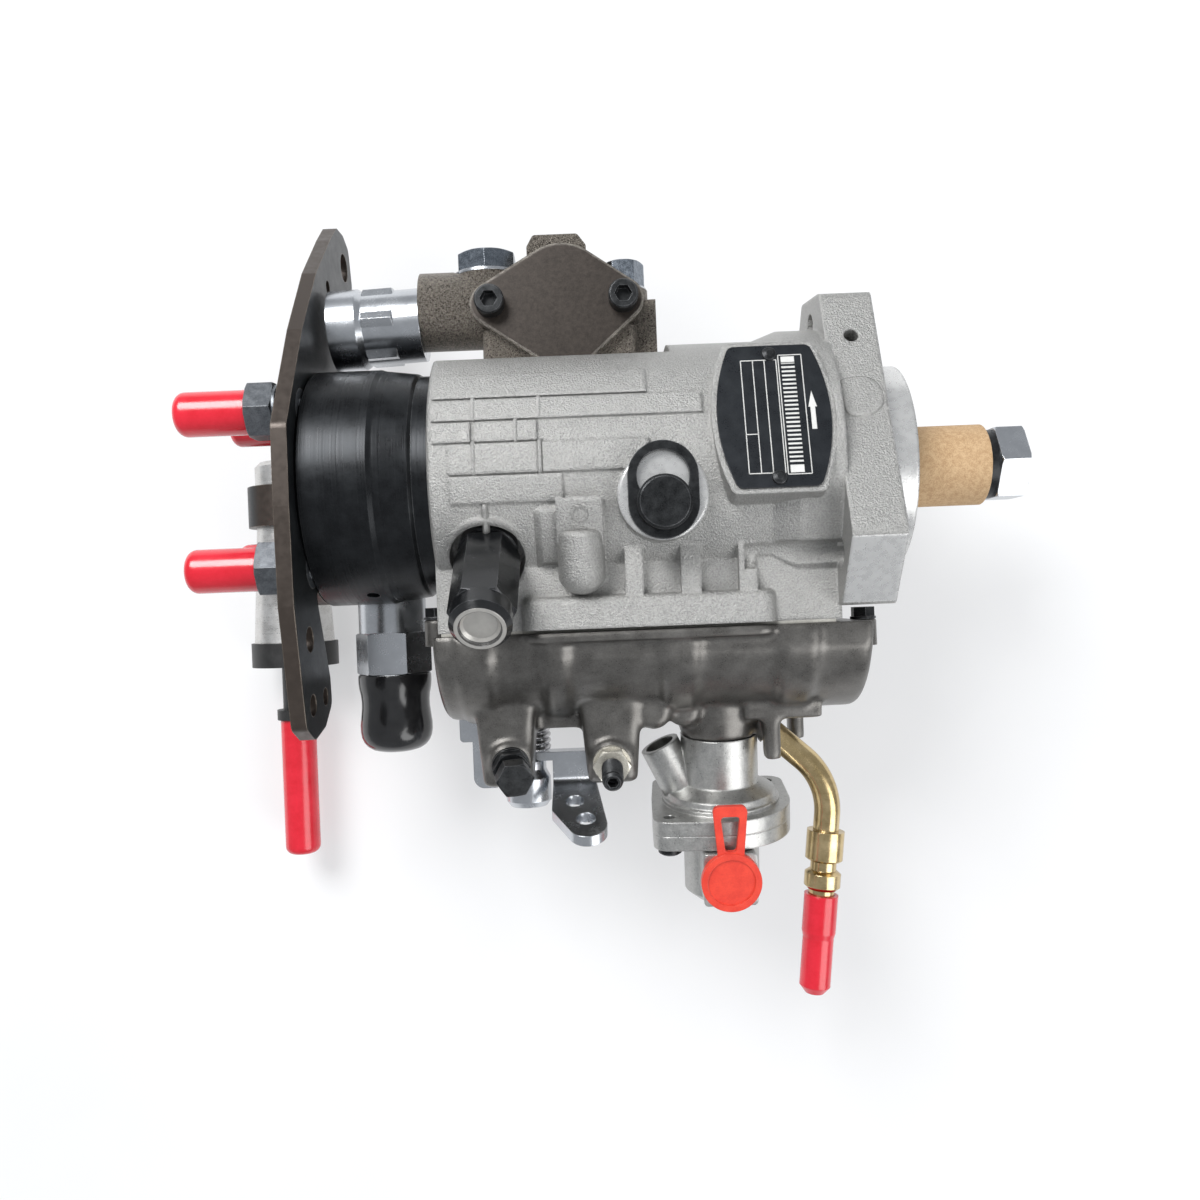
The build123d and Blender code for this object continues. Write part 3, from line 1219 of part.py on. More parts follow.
# Shaft lock screw and its slotted spacer
spacer_z0 = LOCK_BOSS_Z + SLIDING
spacer_z1 = spacer_z0 + SPACER_THICK
spacer = Pos(LOCK_X, LOCK_Y + SPACER_STEP / 2) * Rot(0, 0, 90) * SlotCenterToCenter(SPACER_STEP, 2 * SPACER_R)
keyhole = disc(LOCK_SCREW_R + SPACER_SLOT_GAP, LOCK_X, LOCK_Y)
keyhole += disc(SPACER_EYE_R, LOCK_X, LOCK_Y + SPACER_STEP)
nodes["lock_spacer"] = along_z(spacer - keyhole, spacer_z0, spacer_z1)
head_z0 = spacer_z1 + SLIDING
lock_head = rod(LOCK_HEAD_R, 0, LOCK_HEAD_THICK)
lock_head = chamfer(lock_head.edges().sort_by(Axis.Z)[-1], 0.8)
nodes["lock_screw"] = rod(LOCK_SCREW_R, SHAFT_R + LOCK_TIP_GAP, head_z0, LOCK_X, LOCK_Y)
nodes["lock_screw"] += Pos(LOCK_X, LOCK_Y, head_z0) * lock_head

# Leak-off adaptor that leans out of the body
thread_end = -ADAPTOR_SEAT_DEEP - ADAPTOR_THREAD_LONG
adaptor = turned((thread_end, ADAPTOR_THREAD_R), (-ADAPTOR_SEAT_DEEP, ADAPTOR_THREAD_R))
adaptor += turned((-ADAPTOR_SEAT_DEEP, 9.6), (-2.0, 9.6), (-2.0, 9.0), (0, 9.0))
adaptor += Pos(0, 0, -1) * hex_head(ADAPTOR_AF, ADAPTOR_LONG - 6, 2.2)
adaptor += turned((ADAPTOR_LONG - 8, 9.4), (ADAPTOR_LONG - 2, 9.4), (ADAPTOR_LONG, 7.6))
adaptor -= rod(6.4, ADAPTOR_LONG - 3, ADAPTOR_LONG + 1)
adaptor += turned((ADAPTOR_LONG - 3, 6.4), (ADAPTOR_LONG - 0.8, 6.4), (ADAPTOR_LONG - 2, 5.0))
nodes["adaptor"] = ADAPTOR_SEAT * adaptor

for name, shape in nodes.items():
    export_step(shape, f"parts/{name}.step")
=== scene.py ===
import math

import bmesh
import bpy
from mathutils import Matrix, Vector


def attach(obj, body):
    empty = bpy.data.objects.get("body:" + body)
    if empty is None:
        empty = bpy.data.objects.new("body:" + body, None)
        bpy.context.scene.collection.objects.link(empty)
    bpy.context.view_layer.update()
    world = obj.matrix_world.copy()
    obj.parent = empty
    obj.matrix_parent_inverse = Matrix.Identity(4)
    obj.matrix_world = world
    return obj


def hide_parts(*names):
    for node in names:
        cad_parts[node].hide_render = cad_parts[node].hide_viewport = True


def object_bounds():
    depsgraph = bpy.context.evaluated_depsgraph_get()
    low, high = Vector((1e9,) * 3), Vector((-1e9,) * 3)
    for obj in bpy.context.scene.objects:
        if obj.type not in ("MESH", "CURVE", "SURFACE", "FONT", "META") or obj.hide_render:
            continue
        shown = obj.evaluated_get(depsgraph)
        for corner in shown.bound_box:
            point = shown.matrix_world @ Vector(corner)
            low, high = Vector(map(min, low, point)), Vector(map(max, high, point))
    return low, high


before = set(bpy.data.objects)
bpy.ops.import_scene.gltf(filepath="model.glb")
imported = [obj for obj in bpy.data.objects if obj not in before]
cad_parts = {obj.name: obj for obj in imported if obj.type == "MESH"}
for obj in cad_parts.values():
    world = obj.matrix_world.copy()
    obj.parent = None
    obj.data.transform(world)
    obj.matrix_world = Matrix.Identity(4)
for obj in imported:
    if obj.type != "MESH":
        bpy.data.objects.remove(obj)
cad_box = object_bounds()

MM = 0.001
# Corners closer than this, in metres, are one
MERGE_DISTANCE = 1e-7
X_AXIS = (1.0, 0.0, 0.0)
Y_AXIS = (0.0, 1.0, 0.0)
Z_AXIS = (0.0, 0.0, 1.0)


# Shader building
def add(tree, kind, inputs=None, **settings):
    """A shader node with its settings, and its inputs either linked or set."""
    made = tree.nodes.new("ShaderNode" + kind)
    for key, value in settings.items():
        setattr(made, key, value)
    for key, value in (inputs or {}).items():
        if isinstance(value, bpy.types.NodeSocket):
            tree.links.new(value, made.inputs[key])
        else:
            made.inputs[key].default_value = value
    return made


def maths(tree, operation, a, b=0.0):
    return add(tree, "Math", {0: a, 1: b}, operation=operation).outputs["Value"]


def product(tree, a, b):
    return maths(tree, "MULTIPLY", a, b)


def inverse(tree, mask):
    """1 where a mask is 0, and 0 where it is 1."""
    return maths(tree, "SUBTRACT", 1.0, mask)


def dot(tree, a, b):
    return add(tree, "VectorMath", {0: a, 1: b}, operation="DOT_PRODUCT").outputs["Value"]


def place_on_piece(tree):
    return add(tree, "TexCoord").outputs["Object"]


def face_normal(tree):
    return add(tree, "NewGeometry").outputs["True Normal"]


def spread(tree, value, low, high, to_low=0.0, to_high=1.0):
    """A value carried from one range to another and held inside it."""
    ranges = {"From Min": low, "From Max": high, "To Min": to_low, "To Max": to_high}
    return add(tree, "MapRange", {"Value": value, **ranges}).outputs["Result"]


def grain(tree, size_mm, detail=3.0, roughness=0.55):
    """Cloudy noise whose lumps are about size_mm across, from 0 to 1."""
    inputs = {"Scale": 1.0 / (size_mm * MM), "Detail": detail, "Roughness": roughness}
    return add(tree, "TexNoise", {"Vector": place_on_piece(tree), **inputs}).outputs["Fac"]


def colours(tree, factor, a, b):
    """Colour a turning into colour b as the factor goes from 0 to 1."""
    made = add(tree, "Mix", data_type="RGBA")
    for socket, value in ((0, factor), (6, a), (7, b)):
        if isinstance(value, bpy.types.NodeSocket):
            tree.links.new(value, made.inputs[socket])
        elif socket:
            made.inputs[socket].default_value = (*value, 1.0)
        else:
            made.inputs[socket].default_value = value
    return made.outputs[2]


def bump(tree, height, depth_mm, normal=None, strength=1.0):
    inputs = {"Height": height, "Distance": depth_mm * MM, "Strength": strength}
    if normal is not None:
        inputs["Normal"] = normal
    return add(tree, "Bump", inputs).outputs["Normal"]


# Cosines of the angles between which a mask rises from 0 to 1
EDGE_COSINES = (0.985, 0.85)
FACING_COSINES = (0.975, 0.99)
SHEARED_COSINES = (0.7, 0.5)


def edges(tree, radius_mm):
    """The rounded normal near edges, and a mask that is 1 on them."""
    bevel = add(tree, "Bevel", {"Radius": radius_mm * MM}, samples=4).outputs["Normal"]
    flat = add(tree, "NewGeometry").outputs["Normal"]
    return bevel, spread(tree, dot(tree, bevel, flat), *EDGE_COSINES)


def along(tree, direction, from_mm=0.0):
    """How far a point lies along a direction, in millimetres past from_mm."""
    metres = dot(tree, place_on_piece(tree), direction)
    return maths(tree, "SUBTRACT", product(tree, metres, 1.0 / MM), from_mm)


def beyond(tree, direction, from_mm, soft_mm=0.1):
    """1 past a place along a direction, and 0 before it."""
    return spread(tree, along(tree, direction, from_mm), -soft_mm, soft_mm)


def between(tree, direction, from_mm, to_mm):
    past_the_end = beyond(tree, direction, to_mm)
    return product(tree, beyond(tree, direction, from_mm), inverse(tree, past_the_end))


def facing(tree, direction):
    """1 where the surface looks along a direction."""
    return spread(tree, dot(tree, face_normal(tree), direction), *FACING_COSINES)


def near_axis(tree, origin_mm, direction, radius_mm, soft_mm=0.05):
    """1 inside a cylinder round an axis, and 0 outside it."""
    origin = tuple(value * MM for value in origin_mm)
    arm = add(tree, "VectorMath", {0: place_on_piece(tree), 1: origin}, operation="SUBTRACT")
    sides = {0: arm.outputs["Vector"], 1: direction}
    across = add(tree, "VectorMath", sides, operation="CROSS_PRODUCT").outputs["Vector"]
    distance = add(tree, "VectorMath", {0: across}, operation="LENGTH").outputs["Value"]
    return spread(tree, distance, (radius_mm + soft_mm) * MM, (radius_mm - soft_mm) * MM)


def turning(tree, direction, pitch_mm):
    """Fine rings left by a lathe tool round a direction, from 0 to 1."""
    inputs = {"W": along(tree, direction), "Scale": 1.0 / pitch_mm, "Detail": 2.0, "Roughness": 0.6}
    return add(tree, "TexNoise", inputs, noise_dimensions="1D").outputs["Fac"]


# The parts of the noise, which keeps near 0.5, that a finish is spread over
COLOUR_SPREAD = (0.38, 0.62)
ROUGH_SPREAD = (0.35, 0.65)
RELIEF_SPREAD = (0.3, 0.7)
WORN_SPREAD = (0.35, 0.6)
# The least that an edge is rubbed, as a share of the most
WORN_LEAST = 0.4
# How much a lathe ring changes the roughness
RING_ROUGH = (-0.04, 0.06)
COAT_ROUGH = 0.12
# Clouds on a machined place, how dark they are, and how much of the cast relief is gone there
MACHINED_CLOUD_MM = 2.4
MACHINED_SHADE = 0.9
MACHINED_CALM = 0.92


def finish(
    name,
    dark,
    light,
    metallic,
    rough,
    patch_mm,
    grain_mm,
    relief_mm,
    speckle,
    edge=None,
    edge_mm=0.35,
    edge_amount=None,
    coat=0.0,
    rings=None,
    bare=None,
    bare_colour=None,
    bare_rough=(0.22, 0.32),
):
    """A surface with cloudy patches, a fine grain in colour and relief, and rubbed edges.

    speckle is the grain's share in it. rings is a direction, a pitch and a depth of lathe
    marks. bare gives a mask of machined places, which are smoother and have their own colour.
    """
    material = bpy.data.materials.new(name)
    material.use_nodes = True
    tree = material.node_tree
    shader = tree.nodes["Principled BSDF"]
    shader.inputs["Metallic"].default_value = metallic
    shader.inputs["Coat Weight"].default_value = coat
    shader.inputs["Coat Roughness"].default_value = COAT_ROUGH
    patches = grain(tree, patch_mm, 4.0, 0.6)
    fine = grain(tree, grain_mm, 3.0, 0.6)
    mixed = maths(tree, "ADD", product(tree, patches, 1.0 - speckle), product(tree, fine, speckle))
    colour = colours(tree, spread(tree, mixed, *COLOUR_SPREAD), dark, light)
    roughness = spread(tree, mixed, *ROUGH_SPREAD, *rough)
    height = spread(tree, mixed, *RELIEF_SPREAD)
    normal, mask = edges(tree, edge_mm)
    strength = 1.0
    if rings is not None:
        direction, pitch_mm, depth_mm = rings
        lines = turning(tree, direction, pitch_mm)
        normal = bump(tree, lines, depth_mm, normal)
        roughness = maths(tree, "ADD", roughness, spread(tree, lines, *RELIEF_SPREAD, *RING_ROUGH))
    if bare is not None:
        machined = bare(tree)
        clouds = grain(tree, MACHINED_CLOUD_MM, 4.0)
        shaded = tuple(MACHINED_SHADE * value for value in bare_colour)
        metal = colours(tree, spread(tree, clouds, *ROUGH_SPREAD), shaded, bare_colour)
        colour = colours(tree, machined, colour, metal)
        smooth = spread(tree, clouds, *RELIEF_SPREAD, *bare_rough)
        change = product(tree, maths(tree, "SUBTRACT", smooth, roughness), machined)
        roughness = maths(tree, "ADD", roughness, change)
        strength = inverse(tree, product(tree, machined, MACHINED_CALM))
    if edge is not None:
        rubbed = spread(tree, patches, *WORN_SPREAD, WORN_LEAST * edge_amount, edge_amount)
        colour = colours(tree, product(tree, mask, rubbed), colour, edge)
    tree.links.new(colour, shader.inputs["Base Color"])
    tree.links.new(roughness, shader.inputs["Roughness"])
    tree.links.new(bump(tree, height, relief_mm, normal, strength), shader.inputs["Normal"])
    return material


# Machined and bare places, in millimetres
SPIGOT_START = -0.25
FACET_START = -17.2
FACET_ANGLE = math.radians(128.0)
FACET_DIRECTION = (0.0, math.cos(FACET_ANGLE), math.sin(FACET_ANGLE))
LOCK_BOSS_TOP = 48.5
MILLED_HEIGHT = 38.5
LEVEL_REACH = 0.3


def milled_flat(tree, direction, height):
    """1 on the flats that look along a direction from one height."""
    level = between(tree, direction, height - LEVEL_REACH, height + LEVEL_REACH)
    return product(tree, facing(tree, direction), level)


def machined_places(tree):
    """The spigot, the flange's corner facet, the lock boss's top and the advance unit's seat."""
    spigot = beyond(tree, X_AXIS, SPIGOT_START)
    facet = product(tree, facing(tree, FACET_DIRECTION), beyond(tree, X_AXIS, FACET_START))
    top = milled_flat(tree, Z_AXIS, LOCK_BOSS_TOP)
    seat = milled_flat(tree, Y_AXIS, MILLED_HEIGHT)
    turned = maths(tree, "MAXIMUM", spigot, facet)
    return maths(tree, "MAXIMUM", turned, maths(tree, "MAXIMUM", top, seat))


ADAPTOR_PLACE = (-128.0, -27.0, 35.0)
ADAPTOR_LEAN = math.radians(38.0)
ADAPTOR_DIRECTION = (0.0, -math.sin(ADAPTOR_LEAN), math.cos(ADAPTOR_LEAN))
ADAPTOR_RING_START = 31.0
ADAPTOR_MOUTH_R = 7.7
# A dark ring at the plug's edge, its radius and width, and how far it is kept dark: painted shadow
# in the gap between mouth and plug
PLUG_GAP_SHADOW_R = 6.5
PLUG_GAP_SHADOW_WIDE = 0.55
PLUG_GAP_SHADOW_STRENGTH = 0.8


def adaptor_end(tree):
    """The bright mouth and plug at the leaning adaptor's open end, with a painted shadow in the gap
    between them.
    """
    reach = sum(p * d for p, d in zip(ADAPTOR_PLACE, ADAPTOR_DIRECTION)) + ADAPTOR_RING_START
    radii = (ADAPTOR_MOUTH_R, PLUG_GAP_SHADOW_R, PLUG_GAP_SHADOW_R - PLUG_GAP_SHADOW_WIDE)
    mouth, outer, inner = (near_axis(tree, ADAPTOR_PLACE, ADAPTOR_DIRECTION, r) for r in radii)
    # The ring is kept dark as painted shadow in the gap between mouth and plug
    gap_shadow = product(tree, maths(tree, "SUBTRACT", outer, inner), PLUG_GAP_SHADOW_STRENGTH)
    end = beyond(tree, ADAPTOR_DIRECTION, reach)
    return product(tree, end, maths(tree, "SUBTRACT", mouth, gap_shadow))


def cover_rim(tree):
    """The cover plate's sheared edge, which is left bright."""
    return inverse(tree, facing(tree, Z_AXIS))


def sheared_edge(tree):
    """The narrow edges of the bracket plate, which are browner and scratched."""
    sideways = maths(tree, "ABSOLUTE", dot(tree, face_normal(tree), X_AXIS))
    return spread(tree, sideways, *SHEARED_COSINES)


# A place between the two locknuts
LOCKNUTS_SPLIT = -108.0


def bright_locknut(tree):
    """The locknut away from the head, which is bright. The one near the head is black."""
    return beyond(tree, X_AXIS, LOCKNUTS_SPLIT)


# Finishes
def cast_aluminium():
    return finish(
        "cast_aluminium",
        dark=(0.325, 0.323, 0.313), light=(0.465, 0.461, 0.448),
        metallic=0.72, rough=(0.35, 0.50),
        patch_mm=2.8, grain_mm=0.6, relief_mm=0.24, speckle=0.8,
        edge=(0.63, 0.625, 0.61), edge_mm=1.6, edge_amount=0.55,
        bare=machined_places, bare_colour=(0.73, 0.73, 0.72), bare_rough=(0.25, 0.31),
    )


def fine_aluminium():
    """The boost unit's finer casting, a little brighter than the body."""
    return finish(
        "fine_aluminium",
        dark=(0.36, 0.36, 0.35), light=(0.50, 0.50, 0.485),
        metallic=0.82, rough=(0.26, 0.40),
        patch_mm=3.0, grain_mm=0.6, relief_mm=0.06, speckle=0.5,
        edge=(0.72, 0.72, 0.70), edge_mm=0.8, edge_amount=0.6,
    )


def governor_aluminium():
    return finish(
        "governor_aluminium",
        dark=(0.112, 0.107, 0.100), light=(0.178, 0.172, 0.162),
        metallic=0.75, rough=(0.26, 0.38),
        patch_mm=7.0, grain_mm=0.5, relief_mm=0.04, speckle=0.4,
        edge=(0.27, 0.26, 0.245), edge_mm=1.5, edge_amount=0.5,
    )


def cast_iron():
    return finish(
        "cast_iron",
        dark=(0.034, 0.028, 0.023), light=(0.34, 0.305, 0.262),
        metallic=0.78, rough=(0.24, 0.46),
        patch_mm=0.8, grain_mm=0.38, relief_mm=0.42, speckle=0.6,
        edge=(0.42, 0.385, 0.34), edge_mm=1.0, edge_amount=0.4,
    )


def oxide_steel():
    """The hydraulic head's blue-black skin, with faint marks of turning round the drum."""
    return finish(
        "oxide_steel",
        dark=(0.008, 0.009, 0.0105), light=(0.019, 0.021, 0.0235),
        metallic=0.65, rough=(0.26, 0.36),
        patch_mm=7.0, grain_mm=0.4, relief_mm=0.008, speckle=0.3,
        edge=(0.24, 0.25, 0.26), edge_mm=0.4, edge_amount=0.9,
        rings=((1.0, 0.0, 0.0), 0.8, 0.035),
    )


def black_steel():
    return finish(
        "black_steel",
        dark=(0.010, 0.011, 0.012), light=(0.034, 0.036, 0.038),
        metallic=0.6, rough=(0.26, 0.42),
        patch_mm=3.0, grain_mm=0.35, relief_mm=0.02, speckle=0.45,
        edge=(0.26, 0.265, 0.275), edge_mm=0.45, edge_amount=0.85,
    )


def adaptor_steel():
    return finish(
        "adaptor_steel",
        dark=(0.008, 0.009, 0.010), light=(0.020, 0.021, 0.023),
        metallic=0.5, rough=(0.18, 0.28),
        patch_mm=4.0, grain_mm=0.35, relief_mm=0.012, speckle=0.35,
        edge=(0.20, 0.20, 0.21), edge_mm=0.5, edge_amount=0.7,
        coat=0.3,
        bare=adaptor_end, bare_colour=(0.50, 0.485, 0.455), bare_rough=(0.34, 0.40),
    )


def union_steel():
    """Blue-grey phosphate on the delivery unions."""
    return finish(
        "union_steel",
        dark=(0.095, 0.103, 0.113), light=(0.185, 0.198, 0.215),
        metallic=0.72, rough=(0.28, 0.40),
        patch_mm=2.5, grain_mm=0.35, relief_mm=0.025, speckle=0.5,
        edge=(0.36, 0.37, 0.38), edge_mm=0.4, edge_amount=0.8,
    )


def phosphated_steel():
    return finish(
        "phosphated_steel",
        dark=(0.010, 0.012, 0.0135), light=(0.026, 0.029, 0.031),
        metallic=0.5, rough=(0.30, 0.44),
        patch_mm=5.0, grain_mm=0.4, relief_mm=0.015, speckle=0.5,
        edge=(0.32, 0.27, 0.22), edge_mm=0.5, edge_amount=0.9,
        bare=sheared_edge, bare_colour=(0.060, 0.047, 0.039), bare_rough=(0.30, 0.46),
    )


def cover_plate_steel():
    return finish(
        "cover_plate_steel",
        dark=(0.026, 0.020, 0.016), light=(0.048, 0.038, 0.031),
        metallic=0.45, rough=(0.34, 0.46),
        patch_mm=1.4, grain_mm=0.3, relief_mm=0.012, speckle=0.5,
        edge=(0.58, 0.54, 0.48), edge_mm=1.5, edge_amount=1.0,
        bare=cover_rim, bare_colour=(0.58, 0.54, 0.48),
    )


def zinc_plate():
    return finish(
        "zinc_plate",
        dark=(0.51, 0.53, 0.555), light=(0.59, 0.61, 0.64),
        metallic=1.0, rough=(0.22, 0.29),
        patch_mm=7.0, grain_mm=0.5, relief_mm=0.006, speckle=0.3,
        edge=(0.82, 0.83, 0.85), edge_mm=0.4, edge_amount=0.5,
    )


def blue_zinc():
    """Darker bluish plating on the plug and bolt of the advance unit."""
    return finish(
        "blue_zinc",
        dark=(0.13, 0.15, 0.175), light=(0.25, 0.28, 0.32),
        metallic=1.0, rough=(0.2, 0.34),
        patch_mm=2.0, grain_mm=0.4, relief_mm=0.015, speckle=0.5,
        edge=(0.55, 0.57, 0.60), edge_mm=0.35, edge_amount=0.7,
    )


def locknut_steel():
    return finish(
        "locknut_steel",
        dark=(0.010, 0.011, 0.012), light=(0.034, 0.036, 0.038),
        metallic=0.6, rough=(0.26, 0.42),
        patch_mm=3.0, grain_mm=0.35, relief_mm=0.02, speckle=0.45,
        edge=(0.30, 0.30, 0.30), edge_mm=0.3, edge_amount=0.5,
        bare=bright_locknut, bare_colour=(0.66, 0.63, 0.55),
    )


def gold_zinc():
    return finish(
        "gold_zinc",
        dark=(0.47, 0.35, 0.17), light=(0.70, 0.55, 0.31),
        metallic=1.0, rough=(0.15, 0.27),
        patch_mm=6.0, grain_mm=0.35, relief_mm=0.012, speckle=0.35,
        edge=(0.86, 0.80, 0.66), edge_mm=0.3, edge_amount=0.4,
    )


def ground_steel():
    return finish(
        "ground_steel",
        dark=(0.42, 0.42, 0.43), light=(0.66, 0.66, 0.67),
        metallic=1.0, rough=(0.2, 0.35),
        patch_mm=6.0, grain_mm=0.3, relief_mm=0.01, speckle=0.3,
        edge=(0.8, 0.8, 0.8), edge_mm=0.3, edge_amount=0.5,
        rings=((1.0, 0.0, 0.0), 0.4, 0.006),
    )


def can_steel():
    return finish(
        "can_steel",
        dark=(0.56, 0.55, 0.53), light=(0.74, 0.735, 0.72),
        metallic=0.95, rough=(0.24, 0.38),
        patch_mm=5.0, grain_mm=0.35, relief_mm=0.012, speckle=0.4,
        edge=(0.85, 0.85, 0.85), edge_mm=0.3, edge_amount=0.4,
        rings=((0.0, 1.0, 0.0), 0.6, 0.01),
    )


def red_vinyl():
    return finish(
        "red_vinyl",
        dark=(0.62, 0.008, 0.022), light=(0.71, 0.014, 0.034),
        metallic=0.0, rough=(0.18, 0.26),
        patch_mm=8.0, grain_mm=1.4, relief_mm=0.018, speckle=0.25,
        edge=(0.82, 0.07, 0.09), edge_mm=0.8, edge_amount=0.5,
        coat=0.35,
    )


def orange_rubber():
    return finish(
        "orange_rubber",
        dark=(0.66, 0.035, 0.018), light=(0.78, 0.055, 0.026),
        metallic=0.0, rough=(0.38, 0.50),
        patch_mm=4.0, grain_mm=0.6, relief_mm=0.025, speckle=0.35,
        edge=(0.88, 0.14, 0.08), edge_mm=0.4, edge_amount=0.5,
    )


def black_vinyl():
    return finish(
        "black_vinyl",
        dark=(0.008, 0.008, 0.009), light=(0.018, 0.018, 0.019),
        metallic=0.0, rough=(0.14, 0.24),
        patch_mm=5.0, grain_mm=1.0, relief_mm=0.03, speckle=0.25,
        edge=(0.05, 0.05, 0.05), edge_mm=0.6, edge_amount=0.5,
        coat=0.35,
    )


def black_plastic():
    return finish(
        "black_plastic",
        dark=(0.012, 0.012, 0.012), light=(0.026, 0.026, 0.026),
        metallic=0.0, rough=(0.38, 0.5),
        patch_mm=5.0, grain_mm=0.5, relief_mm=0.02, speckle=0.4,
        edge=(0.07, 0.07, 0.07), edge_mm=0.3, edge_amount=0.5,
    )


def moulded_rubber():
    return finish(
        "moulded_rubber",
        dark=(0.014, 0.014, 0.014), light=(0.03, 0.03, 0.03),
        metallic=0.0, rough=(0.5, 0.65),
        patch_mm=5.0, grain_mm=0.5, relief_mm=0.02, speckle=0.4,
    )


def kraft_board():
    return finish(
        "kraft_board",
        dark=(0.42, 0.26, 0.13), light=(0.60, 0.42, 0.245),
        metallic=0.0, rough=(0.75, 0.9),
        patch_mm=1.6, grain_mm=0.4, relief_mm=0.05, speckle=0.5,
        edge=(0.70, 0.56, 0.38), edge_mm=0.4, edge_amount=0.5,
    )


def gasket_fibre():
    return finish(
        "gasket_fibre",
        dark=(0.33, 0.32, 0.29), light=(0.46, 0.45, 0.41),
        metallic=0.0, rough=(0.7, 0.85),
        patch_mm=3.0, grain_mm=0.4, relief_mm=0.03, speckle=0.5,
    )


def plate_black():
    return finish(
        "plate_black",
        dark=(0.006, 0.008, 0.011), light=(0.014, 0.017, 0.021),
        metallic=0.2, rough=(0.26, 0.36),
        patch_mm=6.0, grain_mm=0.4, relief_mm=0.006, speckle=0.4,
        edge=(0.16, 0.16, 0.17), edge_mm=0.25, edge_amount=0.5,
    )


def print_white():
    return finish(
        "print_white",
        dark=(0.62, 0.62, 0.60), light=(0.74, 0.74, 0.72),
        metallic=0.0, rough=(0.42, 0.55),
        patch_mm=3.0, grain_mm=0.3, relief_mm=0.004, speckle=0.5,
    )


def bearing_bronze():
    return finish(
        "bearing_bronze",
        dark=(0.40, 0.27, 0.13), light=(0.60, 0.43, 0.23),
        metallic=1.0, rough=(0.3, 0.45),
        patch_mm=4.0, grain_mm=0.4, relief_mm=0.01, speckle=0.3,
    )


# The carried-over pieces that have each finish
FINISHES = {
    cast_aluminium: ["pump_body"],
    fine_aluminium: ["boost_body", "boost_cover"],
    governor_aluminium: ["governor_cover"],
    cast_iron: ["advance_housing"],
    oxide_steel: ["hydraulic_head", "head_plugs"],
    black_steel: [
        "spring_washer", "plate_screws", "idle_screw", "speed_screw", "boost_screws",
        "plate_rivets", "lock_spacer", "lock_screw", "advance_screws",
    ],
    adaptor_steel: ["adaptor"],
    union_steel: ["outlet_unions"],
    blue_zinc: ["advance_plugs"],
    phosphated_steel: ["bracket_plate", "solenoid_clamp"],
    cover_plate_steel: ["advance_cover"],
    zinc_plate: [
        "shaft_nut", "advance_fitting", "throttle_lever", "throttle_nut", "lever_bracket",
        "inlet_fitting",
    ],
    locknut_steel: ["stop_locknuts"],
    gold_zinc: ["return_pipe"],
    ground_steel: [
        "head_liners", "rotor", "plungers", "cam_rollers", "cam_ring", "cam_stud", "drive_shaft",
        "governor_carrier", "governor_weights", "thrust_sleeve", "advance_piston",
        "throttle_shaft", "return_spring", "boost_rod",
    ],
    can_steel: ["solenoid_can"],
    red_vinyl: [
        "outlet_cap_1", "outlet_cap_2", "outlet_cap_3", "outlet_cap_4", "terminal_cap", "pipe_cap",
    ],
    orange_rubber: ["flag_plug"],
    black_vinyl: ["inlet_cap"],
    black_plastic: ["solenoid_terminal"],
    moulded_rubber: ["oil_seal", "boost_diaphragm"],
    kraft_board: ["shaft_sleeve"],
    gasket_fibre: ["governor_gasket"],
    plate_black: ["data_plate"],
    bearing_bronze: ["shaft_bush"],
    print_white: [],
}


def dress_frame():
    """Each carried-over piece gets its own finish."""
    made = {}
    for recipe, names in FINISHES.items():
        material = recipe()
        made[recipe.__name__] = material
        for name in names:
            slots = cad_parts[name].data.materials
            slots.clear()
            slots.append(material)
    return made


# Pieces in mesh
SMOOTH_TO = math.radians(35.0)


def plane(origin, z_dir):
    """A local frame with its origin in millimetres, as a matrix that gives metres."""
    z = Vector(z_dir).normalized()
    x = Vector(X_AXIS)
    x = (x - z * x.dot(z)).normalized()
    y = z.cross(x)
    matrix = Matrix((x, y, z)).transposed().to_4x4()
    matrix.translation = Vector(origin) * MM
    return matrix @ Matrix.Scale(MM, 4)


def link(name, data):
    made = bpy.data.objects.new(name, data)
    bpy.context.scene.collection.objects.link(made)
    return made


def mesh_of(name, shape):
    mesh = bpy.data.meshes.new(name)
    shape.to_mesh(mesh)
    shape.free()
    return mesh


def finish_piece(mesh, material, body="pump", smooth=False):
    """The mesh becomes a piece of the same name that rides on a body."""
    mesh.materials.clear()
    mesh.materials.append(finishes[material])
    for face in mesh.polygons:
        face.use_smooth = smooth
    if smooth:
        mesh.set_sharp_from_angle(angle=SMOOTH_TO)
    piece = link(mesh.name, mesh)
    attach(piece, body)
    return piece


def place_piece(name, shape, place, material, body="pump", smooth=False):
    """The shape is set in its place, its faces pointing outwards, and becomes a piece."""
    bmesh.ops.transform(shape, matrix=place, verts=shape.verts)
    bmesh.ops.recalc_face_normals(shape, faces=shape.faces)
    return finish_piece(mesh_of(name, shape), material, body, smooth)


def add_box(shape, low, high):
    """A closed box between two corners."""
    made = bmesh.ops.create_cube(shape, size=1.0)["verts"]
    for vertex in made:
        for axis in range(3):
            vertex.co[axis] = low[axis] if vertex.co[axis] < 0 else high[axis]


def add_ring(shape, radius, height, sides):
    """The corners of a level ring, or the one point on the axis where its radius is 0."""
    if radius == 0:
        return [shape.verts.new((0, 0, height))]
    turn = [2 * math.pi * k / sides for k in range(sides)]
    return [shape.verts.new((radius * math.cos(t), radius * math.sin(t), height)) for t in turn]


def add_wall(shape, low, high):
    """Faces from one closed ring of corners to the next, either of which may be a point."""
    count = max(len(low), len(high))
    for k in range(count):
        j = (k + 1) % count
        corners = (low[k % len(low)], low[j % len(low)], high[j % len(high)], high[k % len(high)])
        shape.faces.new(list(dict.fromkeys(corners)))


